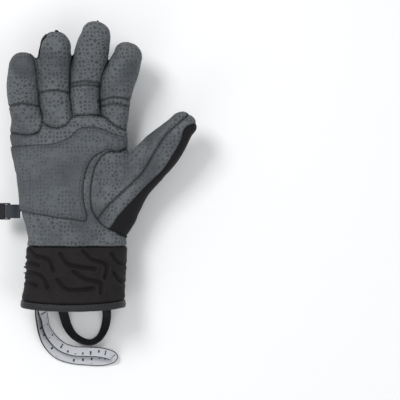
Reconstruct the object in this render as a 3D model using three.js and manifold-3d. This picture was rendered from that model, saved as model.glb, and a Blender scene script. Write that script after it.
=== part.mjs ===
// Right-hand climbing glove, lying on its back with the palm up.
// Millimetres, +X towards the thumb, +Y towards the fingertips, +Z up out of the palm.
import * as THREE from 'three';
import { mergeVertices } from 'three/addons/utils/BufferGeometryUtils.js';
import Module from 'manifold-3d';

const wasm = await Module();
wasm.setup();

// Driving sizes of the hand part
const PALM_WIDTH = 103;
const PALM_LENGTH = 112.6;
const PALM_DEPTH = 43;
const FINGER_WIDTH = 27.4;
const FINGER_DEPTH = 25;
const FINGER_LIFT = 33;
const KNUCKLE_HEIGHT = 17;
const LITTLE_REACH = 53.7;
const RING_REACH = 70.8;
const MIDDLE_REACH = 79.8;
const INDEX_REACH = 62.4;
const THUMB_REACH = 123;
const THUMB_WIDTH = 35.2;
const THUMB_DEPTH = 34;
const THUMB_ANGLE = 38.9;
const THUMB_HEIGHT = 20;
const THUMB_LIFT = 17;
const WALL = 2;
const PATCH_THICKNESS = 1.2;
const GAP = 0.3;

// Driving sizes of the cuff
const CUFF_WIDTH = 87;
const CUFF_DEPTH = 46;
const CUFF_LENGTH = 46.4;
const CUFF_BASE = 3.2;
const CUFF_WALL = 3;
const HEM_HEIGHT = 6;
const HEM_BOW = 2.4;
const HEM_PROUD = 1;
const GROOVE_RADIUS = 1.7;
const GROOVE_DEPTH = 1.2;
const SLIT_WIDTH = 14;
const SLIT_PLACE = 29;
const GUSSET_WALL = 1.2;
const BINDING_WIDTH = 3.6;
const BINDING_THICKNESS = 1;
const TAB_LENGTH = 76;
const TAB_WIDTH = 31;
const TAB_THICKNESS = 2.2;
const TAB_SLANT = 8;

// Driving sizes of the webbing and the clip
const LOOP_WIDTH = 8.4;
const LOOP_REACH = 31;
const LOOP_SPAN = 39;
const LOOP_PLACE = 6;
const LEASH_WIDTH = 8.8;
const LEASH_RUN = 61;
const LEASH_DROP = 49;
const LEASH_PLACE = -33.5;
const WEBBING = 1.3;
const CLIP_WEB_WIDTH = 12;
const CLIP_WEB_LENGTH = 8.6;
const CLIP_LENGTH = 11;
const CLIP_BAR = 2.2;
const CLIP_OUTER_BAR = 5;
const CLIP_WIDTH = 14.6;
const CLIP_THICKNESS = 3.6;
const CLIP_PLACE = 0.27;

// Fineness of the facets
const HAND_SIDES = 24;
const FINGER_SIDES = 10;
const THUMB_SIDES = 12;
const DOME_ROWS = 3;
const DOME_COVER = 0.94;

const CUFF_START = HEM_HEIGHT + GAP;
const PALM_START = CUFF_START + CUFF_LENGTH + GAP;
const ROOM = 4 * PALM_WIDTH;
const FLOOR = 0;

// Hand sections: along is a share of PALM_LENGTH, little and thumb of PALM_WIDTH,
// back and palm of PALM_DEPTH, and corner is the squareness of the section.
const HAND_SECTIONS = [
  { along: 0.00, little: -0.420, thumb: 0.430, back: 0.10, palm: 1.09, corner: 2.4 },
  { along: 0.07, little: -0.413, thumb: 0.423, back: 0.09, palm: 1.02, corner: 2.4 },
  { along: 0.14, little: -0.428, thumb: 0.470, back: 0.07, palm: 0.98, corner: 2.4 },
  { along: 0.22, little: -0.457, thumb: 0.513, back: 0.05, palm: 1.00, corner: 2.4 },
  { along: 0.33, little: -0.470, thumb: 0.530, back: 0.03, palm: 1.02, corner: 2.5 },
  { along: 0.48, little: -0.488, thumb: 0.500, back: 0.01, palm: 1.00, corner: 2.6 },
  { along: 0.62, little: -0.513, thumb: 0.460, back: 0.00, palm: 0.95, corner: 2.7 },
  { along: 0.76, little: -0.550, thumb: 0.435, back: 0.03, palm: 0.88, corner: 2.7 },
  { along: 0.88, little: -0.572, thumb: 0.430, back: 0.06, palm: 0.79, corner: 2.7 },
  { along: 1.00, little: -0.555, thumb: 0.422, back: 0.13, palm: 0.66, corner: 2.6 },
];

// Finger sections: along is a share of the finger's reach past its root, side of PALM_WIDTH,
// lift of FINGER_LIFT, width of FINGER_WIDTH and depth of FINGER_DEPTH. The last row is the tip.
const LITTLE_SECTIONS = [
  { along: -0.23, side: -0.415, lift: 0.00, width: 1.00, depth: 0.90 },
  { along: 0.00, side: -0.423, lift: 0.02, width: 1.05, depth: 0.94 },
  { along: 0.26, side: -0.449, lift: 0.14, width: 1.00, depth: 0.94 },
  { along: 0.51, side: -0.449, lift: 0.36, width: 1.03, depth: 0.98 },
  { along: 0.79, side: -0.432, lift: 0.66, width: 0.93, depth: 0.90 },
  { along: 1.00, side: -0.412, lift: 0.88, width: 0, depth: 0 },
];
const RING_SECTIONS = [
  { along: -0.17, side: -0.150, lift: 0.00, width: 1.00, depth: 0.92 },
  { along: 0.00, side: -0.160, lift: 0.02, width: 1.00, depth: 0.98 },
  { along: 0.32, side: -0.185, lift: 0.15, width: 0.99, depth: 0.98 },
  { along: 0.65, side: -0.182, lift: 0.45, width: 1.07, depth: 1.02 },
  { along: 0.86, side: -0.160, lift: 0.76, width: 0.96, depth: 0.94 },
  { along: 1.00, side: -0.146, lift: 0.97, width: 0, depth: 0 },
];
const MIDDLE_SECTIONS = [
  { along: -0.16, side: 0.081, lift: 0.00, width: 0.92, depth: 0.92 },
  { along: 0.00, side: 0.077, lift: 0.02, width: 0.95, depth: 1.00 },
  { along: 0.26, side: 0.080, lift: 0.13, width: 0.96, depth: 1.00 },
  { along: 0.51, side: 0.101, lift: 0.33, width: 1.06, depth: 1.04 },
  { along: 0.75, side: 0.148, lift: 0.64, width: 1.04, depth: 1.02 },
  { along: 0.88, side: 0.182, lift: 0.85, width: 0.90, depth: 0.92 },
  { along: 1.00, side: 0.200, lift: 1.00, width: 0, depth: 0 },
];
const INDEX_SECTIONS = [
  { along: -0.24, side: 0.305, lift: 0.00, width: 0.84, depth: 0.92 },
  { along: 0.00, side: 0.322, lift: 0.02, width: 0.84, depth: 0.98 },
  { along: 0.25, side: 0.331, lift: 0.10, width: 0.92, depth: 0.98 },
  { along: 0.47, side: 0.356, lift: 0.22, width: 1.00, depth: 1.00 },
  { along: 0.70, side: 0.408, lift: 0.44, width: 1.02, depth: 1.00 },
  { along: 0.85, side: 0.446, lift: 0.64, width: 0.88, depth: 0.90 },
  { along: 1.00, side: 0.458, lift: 0.80, width: 0, depth: 0 },
];

// Thumb sections: along is a share of THUMB_REACH, bow and width of THUMB_WIDTH,
// lift of THUMB_LIFT and depth of THUMB_DEPTH.
const THUMB_SECTIONS = [
  { along: 0.00, bow: 0.00, lift: 0.00, width: 0.98, depth: 0.90 },
  { along: 0.17, bow: -0.04, lift: 0.06, width: 1.08, depth: 1.02 },
  { along: 0.37, bow: -0.13, lift: 0.18, width: 1.03, depth: 1.02 },
  { along: 0.54, bow: -0.10, lift: 0.36, width: 1.02, depth: 0.97 },
  { along: 0.69, bow: -0.06, lift: 0.56, width: 0.98, depth: 0.88 },
  { along: 0.83, bow: -0.04, lift: 0.78, width: 0.80, depth: 0.76 },
  { along: 0.91, bow: -0.03, lift: 0.90, width: 0.68, depth: 0.68 },
  { along: 1.00, bow: 0.00, lift: 1.00, width: 0, depth: 0 },
];
const THUMB_ROOT = { x: 0.23, y: 0.156 };

// Back shell edges: along is a share of PALM_LENGTH, seam and wrap of PALM_DEPTH, edge of PALM_WIDTH
const BACK_EDGES = [
  { along: -0.10, seam: 0.46, wrap: 0.30, edge: 0.335 },
  { along: 0.40, seam: 0.46, wrap: 0.26, edge: 0.325 },
  { along: 0.80, seam: 0.38, wrap: 0.24, edge: 0.320 },
  { along: 1.04, seam: 0.28, wrap: 0.26, edge: 0.330 },
];
const FINGER_BACK_SHARE = 0.2;
const FINGER_BACK_WIDTH = 0.56;
const PATCH_LOW = 0.56;

// Seam lines in plan: x is a share of PALM_WIDTH, y of PALM_LENGTH from the cuff
const FINGER_BASE_LINE = [
  { x: -0.70, y: 0.880 }, { x: -0.57, y: 0.880 }, { x: -0.40, y: 0.863 }, { x: -0.31, y: 0.885 },
  { x: -0.285, y: 0.965 }, { x: -0.245, y: 0.935 }, { x: -0.16, y: 0.918 }, { x: -0.09, y: 0.937 },
  { x: -0.03, y: 1.005 }, { x: 0.03, y: 1.013 }, { x: 0.21, y: 1.013 }, { x: 0.30, y: 0.953 },
  { x: 0.38, y: 0.914 }, { x: 0.50, y: 0.880 },
];
const LITTLE_RING_LINE = [
  { x: -0.287, y: 0.90 }, { x: -0.290, y: 1.00 }, { x: -0.318, y: 1.12 }, { x: -0.318, y: 1.25 },
  { x: -0.318, y: 1.36 }, { x: -0.310, y: 1.60 },
];
const RING_MIDDLE_LINE = [
  { x: -0.030, y: 0.95 }, { x: -0.040, y: 1.05 }, { x: -0.055, y: 1.20 }, { x: -0.048, y: 1.40 },
  { x: -0.020, y: 1.55 }, { x: 0.000, y: 1.80 },
];
const MIDDLE_INDEX_LINE = [
  { x: 0.215, y: 0.95 }, { x: 0.205, y: 1.06 }, { x: 0.203, y: 1.20 }, { x: 0.225, y: 1.32 },
  { x: 0.265, y: 1.45 }, { x: 0.300, y: 1.80 },
];
const THUMB_LINE = [
  { x: 0.55, y: 1.60 }, { x: 0.55, y: 0.92 }, { x: 0.44, y: 0.775 }, { x: 0.36, y: 0.730 },
  { x: 0.29, y: 0.735 }, { x: 0.22, y: 0.690 }, { x: 0.165, y: 0.595 }, { x: 0.135, y: 0.440 },
  { x: 0.140, y: 0.310 }, { x: 0.175, y: 0.235 }, { x: 0.24, y: 0.160 }, { x: 0.333, y: 0.117 },
  { x: 0.42, y: 0.075 }, { x: 0.70, y: 0.060 },
];
const THUMB_SEAM_LINE = [
  { x: 0.10, y: 0.110 }, { x: 0.20, y: 0.220 }, { x: 0.287, y: 0.320 }, { x: 0.367, y: 0.390 },
  { x: 0.484, y: 0.490 }, { x: 0.573, y: 0.570 }, { x: 0.627, y: 0.656 }, { x: 0.710, y: 0.780 },
  { x: 0.778, y: 0.870 }, { x: 0.920, y: 0.984 }, { x: 1.15, y: 1.180 },
];
const THUMB_BLACK_LINE = [
  { x: 0.20, y: 0.010 }, { x: 0.346, y: 0.205 }, { x: 0.419, y: 0.289 }, { x: 0.516, y: 0.383 },
  { x: 0.615, y: 0.477 }, { x: 0.744, y: 0.594 }, { x: 0.843, y: 0.727 }, { x: 0.897, y: 0.820 },
  { x: 0.945, y: 0.920 }, { x: 1.20, y: 1.000 },
];
const KNUCKLE_LINE = [
  { x: -0.75, y: 0.760 }, { x: -0.49, y: 0.780 }, { x: -0.23, y: 0.870 }, { x: 0.03, y: 0.890 },
  { x: 0.28, y: 0.850 }, { x: 0.60, y: 0.780 },
];
const WRIST_LINE = [
  { x: -0.75, y: 0.340 }, { x: -0.45, y: 0.290 }, { x: -0.15, y: 0.190 }, { x: 0.28, y: 0.065 },
  { x: 0.60, y: 0.010 },
];
const PATCH_OUTLINE = [
  { x: -0.75, y: 0.770 }, { x: -0.33, y: 0.780 }, { x: -0.17, y: 0.795 }, { x: -0.05, y: 0.840 },
  { x: 0.02, y: 0.905 }, { x: 0.08, y: 0.920 }, { x: 0.18, y: 0.920 }, { x: 0.27, y: 0.890 },
  { x: 0.37, y: 0.855 }, { x: 0.46, y: 0.835 }, { x: 0.42, y: 0.760 }, { x: 0.34, y: 0.735 },
  { x: 0.28, y: 0.745 }, { x: 0.225, y: 0.725 }, { x: 0.15, y: 0.675 }, { x: 0.105, y: 0.600 },
  { x: 0.080, y: 0.500 }, { x: 0.078, y: 0.370 }, { x: 0.105, y: 0.210 }, { x: 0.000, y: 0.208 },
  { x: -0.22, y: 0.234 }, { x: -0.47, y: 0.273 }, { x: -0.75, y: 0.290 },
];

// Cuff sections: along is a share of CUFF_LENGTH, little and thumb of CUFF_WIDTH, back and palm of CUFF_DEPTH
const CUFF_SECTIONS = [
  { along: 0.00, little: -0.545, thumb: 0.487, back: 0.00, palm: 1.06 },
  { along: 0.35, little: -0.512, thumb: 0.493, back: 0.00, palm: 1.02 },
  { along: 0.70, little: -0.503, thumb: 0.503, back: 0.00, palm: 1.00 },
  { along: 1.00, little: -0.500, thumb: 0.512, back: 0.00, palm: 0.98 },
];
const CUFF_CORNER = 2.5;
const CUFF_SEAM = 0.42;

// Grooves of the raised cuff: x is a share of CUFF_WIDTH and y of CUFF_LENGTH
const CUFF_GROOVES = [
  [{ x: -0.44, y: 0.95 }, { x: -0.37, y: 0.84 }, { x: -0.25, y: 0.77 }, { x: -0.20, y: 0.56 }],
  [{ x: -0.47, y: 0.73 }, { x: -0.35, y: 0.66 }],
  [{ x: -0.47, y: 0.54 }, { x: -0.32, y: 0.47 }, { x: -0.26, y: 0.26 }],
  [{ x: -0.47, y: 0.35 }, { x: -0.37, y: 0.29 }],
  [{ x: -0.13, y: 0.88 }, { x: -0.04, y: 0.68 }, { x: 0.21, y: 0.60 }],
  [{ x: 0.09, y: 0.94 }, { x: 0.18, y: 0.78 }, { x: 0.32, y: 0.67 }, { x: 0.31, y: 0.44 }],
  [{ x: 0.00, y: 0.55 }, { x: 0.11, y: 0.42 }, { x: 0.26, y: 0.34 }, { x: 0.27, y: 0.16 }],
  [{ x: -0.16, y: 0.40 }, { x: -0.05, y: 0.22 }, { x: 0.19, y: 0.24 }],
  [{ x: 0.37, y: 0.88 }, { x: 0.43, y: 0.70 }],
  [{ x: 0.39, y: 0.52 }, { x: 0.45, y: 0.34 }],
];

// Pull loop in plan: across is a share of half LOOP_SPAN, out of LOOP_REACH; turn is the
// webbing's lean in degrees, from 0 lying flat to 90 standing on its edge.
const LOOP_STATIONS = [
  { across: -1.00, out: -0.16, turn: 0 },
  { across: -1.00, out: 0.02, turn: 2 },
  { across: -0.95, out: 0.26, turn: 14 },
  { across: -0.82, out: 0.54, turn: 34 },
  { across: -0.54, out: 0.80, turn: 52 },
  { across: -0.10, out: 0.97, turn: 60 },
  { across: 0.30, out: 1.00, turn: 60 },
  { across: 0.66, out: 0.86, turn: 52 },
  { across: 0.88, out: 0.60, turn: 38 },
  { across: 0.98, out: 0.30, turn: 26 },
  { across: 1.00, out: 0.04, turn: 20 },
  { across: 1.00, out: -0.16, turn: 20 },
];

// Between these shares of LOOP_REACH the pull loop comes down to the floor
const LOOP_FALL = { from: -0.1, to: 0.5 };

// Leash strands in plan: right is a share of LEASH_RUN, down of LEASH_DROP below the hem, high in
// webbing thicknesses above the floor, and turn is the lean in degrees.
const LEASH_STATIONS = [
  { right: 0.000, down: -0.14, high: 11.2, turn: -28 },
  { right: 0.000, down: 0.05, high: 11.0, turn: -32 },
  { right: -0.010, down: 0.26, high: 6.2, turn: -50 },
  { right: 0.020, down: 0.50, high: 3.6, turn: -44 },
  { right: 0.100, down: 0.72, high: 2.2, turn: -22 },
  { right: 0.240, down: 0.90, high: 1.2, turn: -8 },
  { right: 0.440, down: 0.99, high: 0.75, turn: 0 },
  { right: 0.660, down: 1.02, high: 0.75, turn: 0 },
  { right: 0.860, down: 1.03, high: 0.75, turn: 0 },
  { right: 0.990, down: 1.00, high: 1.4, turn: 0 },
  { right: 1.050, down: 0.95, high: 3.4, turn: 0 },
  { right: 1.000, down: 0.90, high: 5.3, turn: 0 },
  { right: 0.860, down: 0.86, high: 5.6, turn: 0 },
  { right: 0.660, down: 0.85, high: 4.8, turn: 0 },
  { right: 0.480, down: 0.84, high: 4.2, turn: 4 },
  { right: 0.300, down: 0.76, high: 4.2, turn: 14 },
  { right: 0.165, down: 0.60, high: 5.2, turn: 32 },
  { right: 0.085, down: 0.42, high: 6.4, turn: 50 },
  { right: 0.060, down: 0.24, high: 8.4, turn: 50 },
  { right: 0.035, down: 0.04, high: 13.0, turn: 32 },
  { right: 0.030, down: -0.14, high: 13.4, turn: 28 },
];

function blendRows(rows, place) {
  // A row between the table's rows, on a smooth curve through them
  const top = rows.length - 1;
  const whole = Math.min(Math.floor(place), top - 1);
  const t = place - whole;
  const near = [rows[Math.max(whole - 1, 0)], rows[whole], rows[whole + 1], rows[Math.min(whole + 2, top)]];
  const row = {};
  for (const key of Object.keys(rows[0])) {
    const [a, b, c, d] = near.map((one) => one[key]);
    const bend = t * (2 * a - 5 * b + 4 * c - d + t * (3 * b - a - 3 * c + d));
    row[key] = b + 0.5 * t * (c - a + bend);
  }
  return row;
}

function rowAt(rows, along) {
  // The row at a given share along the piece
  let low = 0;
  let high = rows.length - 1;
  for (let step = 0; step < 30; step += 1) {
    const middle = (low + high) / 2;
    if (blendRows(rows, middle).along < along) {
      low = middle;
    } else {
      high = middle;
    }
  }
  return blendRows(rows, low);
}

function roundSection(center, side, up, halfWidth, halfDepth, corner, count) {
  const points = [];
  for (let i = 0; i < count; i += 1) {
    const angle = (i / count) * 2 * Math.PI;
    const across = Math.sign(Math.cos(angle)) * Math.abs(Math.cos(angle)) ** (2 / corner) * halfWidth;
    const above = Math.sign(Math.sin(angle)) * Math.abs(Math.sin(angle)) ** (2 / corner) * halfDepth;
    points.push(center.clone().addScaledVector(side, across).addScaledVector(up, above));
  }
  return points;
}

function loftGeometry(rings) {
  const count = rings[0].length;
  const corners = rings.flat();
  const faces = [];
  for (let row = 0; row + 1 < rings.length; row += 1) {
    for (let i = 0; i < count; i += 1) {
      const here = row * count + i;
      const next = row * count + ((i + 1) % count);
      faces.push(here, next, next + count);
      faces.push(here, next + count, here + count);
    }
  }
  const last = (rings.length - 1) * count;
  for (let i = 1; i + 1 < count; i += 1) {
    faces.push(0, i + 1, i);
    faces.push(last, last + i, last + i + 1);
  }
  const geometry = new THREE.BufferGeometry().setFromPoints(corners);
  geometry.setIndex(faces);
  return geometry;
}

function toSolid(geometry) {
  const bare = geometry.clone();
  bare.deleteAttribute('normal');
  bare.deleteAttribute('uv');
  const merged = mergeVertices(bare, 1e-4);
  const mesh = new wasm.Mesh({
    numProp: 3,
    vertProperties: new Float32Array(merged.getAttribute('position').array),
    triVerts: new Uint32Array(merged.index.array),
  });
  return new wasm.Manifold(mesh);
}

function loft(rings) {
  // A closed solid through the rings, turned so that its faces point out
  const solid = toSolid(loftGeometry(rings));
  return solid.volume() > 0 ? solid : toSolid(loftGeometry([...rings].reverse()));
}

function toGeometry(solid) {
  const mesh = solid.getMesh();
  const geometry = new THREE.BufferGeometry();
  geometry.setAttribute('position', new THREE.BufferAttribute(new Float32Array(mesh.vertProperties), 3));
  geometry.setIndex(new THREE.BufferAttribute(new Uint32Array(mesh.triVerts), 1));
  geometry.computeVertexNormals();
  return geometry;
}

function largest(solid) {
  // The main body of a cut piece, without loose slivers
  const bodies = solid.decompose();
  return bodies.reduce((best, one) => (one.volume() > best.volume() ? one : best));
}

// Hand and fingers
function handRings(extra) {
  const rings = [];
  const side = new THREE.Vector3(1, 0, 0);
  const up = new THREE.Vector3(0, 0, 1);
  for (const row of HAND_SECTIONS) {
    const little = row.little * PALM_WIDTH - extra;
    const thumb = row.thumb * PALM_WIDTH + extra;
    const back = row.back * PALM_DEPTH - extra;
    const palm = row.palm * PALM_DEPTH + extra;
    const y = PALM_START + row.along * PALM_LENGTH;
    const center = new THREE.Vector3((little + thumb) / 2, y, (back + palm) / 2);
    const halfWidth = (thumb - little) / 2;
    const halfDepth = (palm - back) / 2;
    rings.push(roundSection(center, side, up, halfWidth, halfDepth, row.corner, HAND_SIDES));
  }
  const mouth = new THREE.Vector3(0, -1, 0);
  if (extra < 0) {
    rings.unshift(rings[0].map((point) => point.clone().add(mouth)));
  }
  return rings;
}

function tubeFrames(stations) {
  // Centre, side and up of each section of a bent tube
  return stations.map((station, i) => {
    const before = stations[Math.max(i - 1, 0)].center;
    const after = stations[Math.min(i + 1, stations.length - 1)].center;
    const forward = after.clone().sub(before).normalize();
    const side = new THREE.Vector3(forward.y, -forward.x, 0).normalize();
    const up = side.clone().cross(forward).normalize();
    return { ...station, forward, side, up };
  });
}

function tubeWithDome(frames, extra, sides, corner) {
  // The sections up to the last wide one, then a round dome to the tip
  const body = frames.slice(0, -1);
  const tip = frames[frames.length - 1];
  const base = body[body.length - 1];
  const rings = body.map((frame) => roundSection(
    frame.center, frame.side, frame.up, frame.width / 2 + extra, frame.depth / 2 + extra, corner, sides,
  ));
  const reach = tip.center.clone().sub(base.center);
  const length = reach.length() + extra;
  reach.normalize();
  for (let i = 1; i <= DOME_ROWS; i += 1) {
    const angle = (i / DOME_ROWS) * (Math.PI / 2) * DOME_COVER;
    const center = base.center.clone().addScaledVector(reach, length * Math.sin(angle));
    const halfWidth = (base.width / 2 + extra) * Math.cos(angle);
    const halfDepth = (base.depth / 2 + extra) * Math.cos(angle);
    rings.push(roundSection(center, base.side, base.up, halfWidth, halfDepth, corner, sides));
  }
  return rings;
}

function fingerFrames(sections, reach) {
  return tubeFrames(sections.map((row) => ({
    center: new THREE.Vector3(
      row.side * PALM_WIDTH,
      PALM_START + PALM_LENGTH + row.along * reach,
      KNUCKLE_HEIGHT + row.lift * FINGER_LIFT,
    ),
    width: row.width * FINGER_WIDTH,
    depth: row.depth * FINGER_DEPTH,
  })));
}

function thumbFrames() {
  const angle = THREE.MathUtils.degToRad(THUMB_ANGLE);
  const along = new THREE.Vector3(Math.sin(angle), Math.cos(angle), 0);
  const out = new THREE.Vector3(Math.cos(angle), -Math.sin(angle), 0);
  const root = new THREE.Vector3(
    THUMB_ROOT.x * PALM_WIDTH, PALM_START + THUMB_ROOT.y * PALM_LENGTH, THUMB_HEIGHT,
  );
  return tubeFrames(THUMB_SECTIONS.map((row) => {
    const center = root.clone();
    center.addScaledVector(along, row.along * THUMB_REACH);
    center.addScaledVector(out, row.bow * THUMB_WIDTH);
    center.z += row.lift * THUMB_LIFT;
    return { center, width: row.width * THUMB_WIDTH, depth: row.depth * THUMB_DEPTH };
  }));
}

const FINGERS = {
  little: fingerFrames(LITTLE_SECTIONS, LITTLE_REACH),
  ring: fingerFrames(RING_SECTIONS, RING_REACH),
  middle: fingerFrames(MIDDLE_SECTIONS, MIDDLE_REACH),
  index: fingerFrames(INDEX_SECTIONS, INDEX_REACH),
};
const THUMB = thumbFrames();
const FINGER_CORNER = 2.2;

function handSolid(extra) {
  let solid = loft(handRings(extra));
  for (const frames of Object.values(FINGERS)) {
    solid = solid.add(loft(tubeWithDome(frames, extra, FINGER_SIDES, FINGER_CORNER)));
  }
  return solid.add(loft(tubeWithDome(THUMB, extra, THUMB_SIDES, FINGER_CORNER)));
}

// Regions that part the shell into its panels
function planLine(line) {
  return line.map((at) => new THREE.Vector2(at.x * PALM_WIDTH, PALM_START + at.y * PALM_LENGTH));
}

function shiftLine(line, shift) {
  // The line moved sideways, to its left as it runs
  return line.map((point, i) => {
    const before = line[Math.max(i - 1, 0)];
    const after = line[Math.min(i + 1, line.length - 1)];
    const run = after.clone().sub(before).normalize();
    return new THREE.Vector2(point.x - run.y * shift, point.y + run.x * shift);
  });
}

function prism(outline, bottom, top) {
  const shape = new THREE.Shape(outline);
  const settings = { depth: top - bottom, bevelEnabled: false, curveSegments: 1 };
  const geometry = new THREE.ExtrudeGeometry(shape, settings);
  geometry.translate(0, 0, bottom);
  return toSolid(geometry);
}

function partAlong(solid, line, corners) {
  // Two pieces on either side of a seam line: the first on the side of the far corners
  const near = [...shiftLine(line, -GAP / 2), ...corners];
  const far = [...shiftLine(line, GAP / 2), ...corners];
  const nearSide = THREE.ShapeUtils.area(near);
  const farSide = THREE.ShapeUtils.area(far);
  const small = Math.abs(nearSide) < Math.abs(farSide) ? near : far;
  const large = small === near ? far : near;
  return [
    solid.intersect(prism(small, -ROOM, ROOM)),
    solid.subtract(prism(large, -ROOM, ROOM)),
  ];
}

function backRegion(shift) {
  const rings = BACK_EDGES.map((row) => {
    const y = PALM_START + row.along * PALM_LENGTH;
    const edge = row.edge * PALM_WIDTH + shift;
    return [
      new THREE.Vector3(-ROOM, y, -ROOM),
      new THREE.Vector3(edge, y, -ROOM),
      new THREE.Vector3(edge, y, row.wrap * PALM_DEPTH + shift),
      new THREE.Vector3(-PALM_WIDTH, y, row.seam * PALM_DEPTH + shift),
      new THREE.Vector3(-ROOM, y, row.seam * PALM_DEPTH + shift),
    ];
  });
  let region = loft(rings);
  for (const frames of Object.values(FINGERS)) {
    const tip = frames[frames.length - 1];
    const past = { ...tip, center: tip.center.clone().addScaledVector(tip.forward, FINGER_WIDTH) };
    const sections = [...frames.slice(1, -1), past].map((frame) => {
      const half = FINGER_BACK_WIDTH * FINGER_WIDTH;
      const low = -FINGER_DEPTH;
      const high = -FINGER_BACK_SHARE * FINGER_DEPTH + shift;
      const corner = (across, above) => frame.center.clone()
        .addScaledVector(frame.side, across)
        .addScaledVector(frame.up, above);
      return [corner(-half, low), corner(half, low), corner(half, high), corner(-half, high)];
    });
    region = region.add(loft(sections));
  }
  return region;
}

const HIGH = new THREE.Vector2(ROOM, ROOM);
const LOW = new THREE.Vector2(ROOM, -ROOM);
const HIGH_LEFT = new THREE.Vector2(-ROOM, ROOM);
const LEFT = new THREE.Vector2(-ROOM, 0);

const outer = handSolid(0);
const shell = outer.subtract(handSolid(-WALL));
const backShell = shell.intersect(backRegion(-GAP / 2));
const frontShell = shell.subtract(backRegion(GAP / 2));

const [fingerBacks, backRest] = partAlong(backShell, planLine(KNUCKLE_LINE), [HIGH, HIGH_LEFT]);
const [handBack, wristBack] = partAlong(backRest, planLine(WRIST_LINE), [HIGH, HIGH_LEFT]);
const [thumbPart, handFront] = partAlong(frontShell, planLine(THUMB_LINE), [LOW, HIGH]);
const [fingerFronts, palmLeather] = partAlong(handFront, planLine(FINGER_BASE_LINE), [HIGH, HIGH_LEFT]);
const [littleFront, threeFronts] = partAlong(fingerFronts, planLine(LITTLE_RING_LINE), [HIGH_LEFT, LEFT]);
const [ringFront, twoFronts] = partAlong(threeFronts, planLine(RING_MIDDLE_LINE), [HIGH_LEFT, LEFT]);
const [middleFront, indexFront] = partAlong(twoFronts, planLine(MIDDLE_INDEX_LINE), [HIGH_LEFT, LEFT]);
const [thumbBack, thumbFront] = partAlong(thumbPart, planLine(THUMB_BLACK_LINE), [HIGH, LOW]);
const [thumbSide, thumbWeb] = partAlong(thumbFront, planLine(THUMB_SEAM_LINE), [HIGH, LOW]);

// Palm patch, a second layer of leather on the palm
function palmPatch() {
  const outline = prism(planLine(PATCH_OUTLINE), PALM_DEPTH * PATCH_LOW, ROOM);
  return loft(handRings(GAP + PATCH_THICKNESS)).intersect(outline).subtract(handSolid(GAP));
}

// Cuff, its slit, gusset, bindings and closure
function cuffRow(along, extra) {
  const row = rowAt(CUFF_SECTIONS, Math.min(Math.max(along, 0), 1));
  return {
    little: row.little * CUFF_WIDTH - extra,
    thumb: row.thumb * CUFF_WIDTH + extra,
    back: CUFF_BASE + row.back * CUFF_DEPTH - extra,
    palm: CUFF_BASE + row.palm * CUFF_DEPTH + extra,
  };
}

function cuffBand(low, high, extra, rows) {
  // A closed solid round the wrist between two heights above the hem, with a bowed lower edge
  const rings = [];
  const side = new THREE.Vector3(1, 0, 0);
  const up = new THREE.Vector3(0, 0, 1);
  for (let i = 0; i <= rows; i += 1) {
    const y = low + ((high - low) * i) / rows;
    const along = (y - CUFF_START) / CUFF_LENGTH;
    const row = cuffRow(along, extra);
    const center = new THREE.Vector3((row.little + row.thumb) / 2, y, (row.back + row.palm) / 2);
    const halfWidth = (row.thumb - row.little) / 2;
    const halfDepth = (row.palm - row.back) / 2;
    const bow = HEM_BOW * (1 - Math.min(Math.max(along, 0), 1));
    const ring = roundSection(center, side, up, halfWidth, halfDepth, CUFF_CORNER, HAND_SIDES);
    for (const point of ring) {
      point.y -= bow * (1 - ((point.x - center.x) / halfWidth) ** 2);
    }
    rings.push(ring);
  }
  return loft(rings);
}

function cuffSurface(x, along, offset) {
  // A point on the palm face of the cuff
  const row = cuffRow(along, 0);
  const half = (row.thumb - row.little) / 2;
  const share = (x - (row.thumb + row.little) / 2) / half;
  const rise = (1 - Math.min(Math.abs(share), 0.98) ** CUFF_CORNER) ** (1 / CUFF_CORNER);
  const z = (row.palm + row.back) / 2 + (rise * (row.palm - row.back)) / 2 + offset;
  const bow = HEM_BOW * (1 - along) * (1 - share * share);
  return new THREE.Vector3(x, CUFF_START + along * CUFF_LENGTH - bow, z);
}

function groove(points) {
  // A round channel that follows the cuff's face
  const lift = GROOVE_RADIUS - GROOVE_DEPTH;
  const turns = points.map((at) => new THREE.Vector3(at.x, at.y, 0));
  const plan = new THREE.CatmullRomCurve3(turns, false, 'centripetal');
  const steps = (points.length - 1) * 2;
  const places = plan.getPoints(steps).map((at) => cuffSurface(at.x * CUFF_WIDTH, at.y, lift));
  const stations = tubeFrames(places.map((center) => ({ center })));
  return loft(stations.map((frame) => roundSection(
    frame.center, frame.side, frame.up, GROOVE_RADIUS, GROOVE_RADIUS, 2, 6,
  )));
}

function slitOutline(grow) {
  // The slit in plan: straight sides up from the hem and a round top below the cuff's edge
  const half = SLIT_WIDTH / 2 + grow;
  const middle = CUFF_START + CUFF_LENGTH - BINDING_WIDTH - 1 - SLIT_WIDTH / 2;
  const shape = new THREE.Path();
  shape.moveTo(SLIT_PLACE + half, -ROOM);
  shape.lineTo(SLIT_PLACE + half, middle);
  shape.absarc(SLIT_PLACE, middle, half, 0, Math.PI, false);
  shape.lineTo(SLIT_PLACE - half, -ROOM);
  return shape.getPoints(5);
}

const CUFF_END = CUFF_START + CUFF_LENGTH;
const SEAM_HEIGHT = CUFF_BASE + CUFF_SEAM * CUFF_DEPTH;

function backBlock(edge, top) {
  // Everything below a height and on the little-finger side of an edge
  return prism([
    new THREE.Vector2(-ROOM, -ROOM), new THREE.Vector2(edge, -ROOM),
    new THREE.Vector2(edge, ROOM), new THREE.Vector2(-ROOM, ROOM),
  ], -ROOM, top);
}

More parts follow.
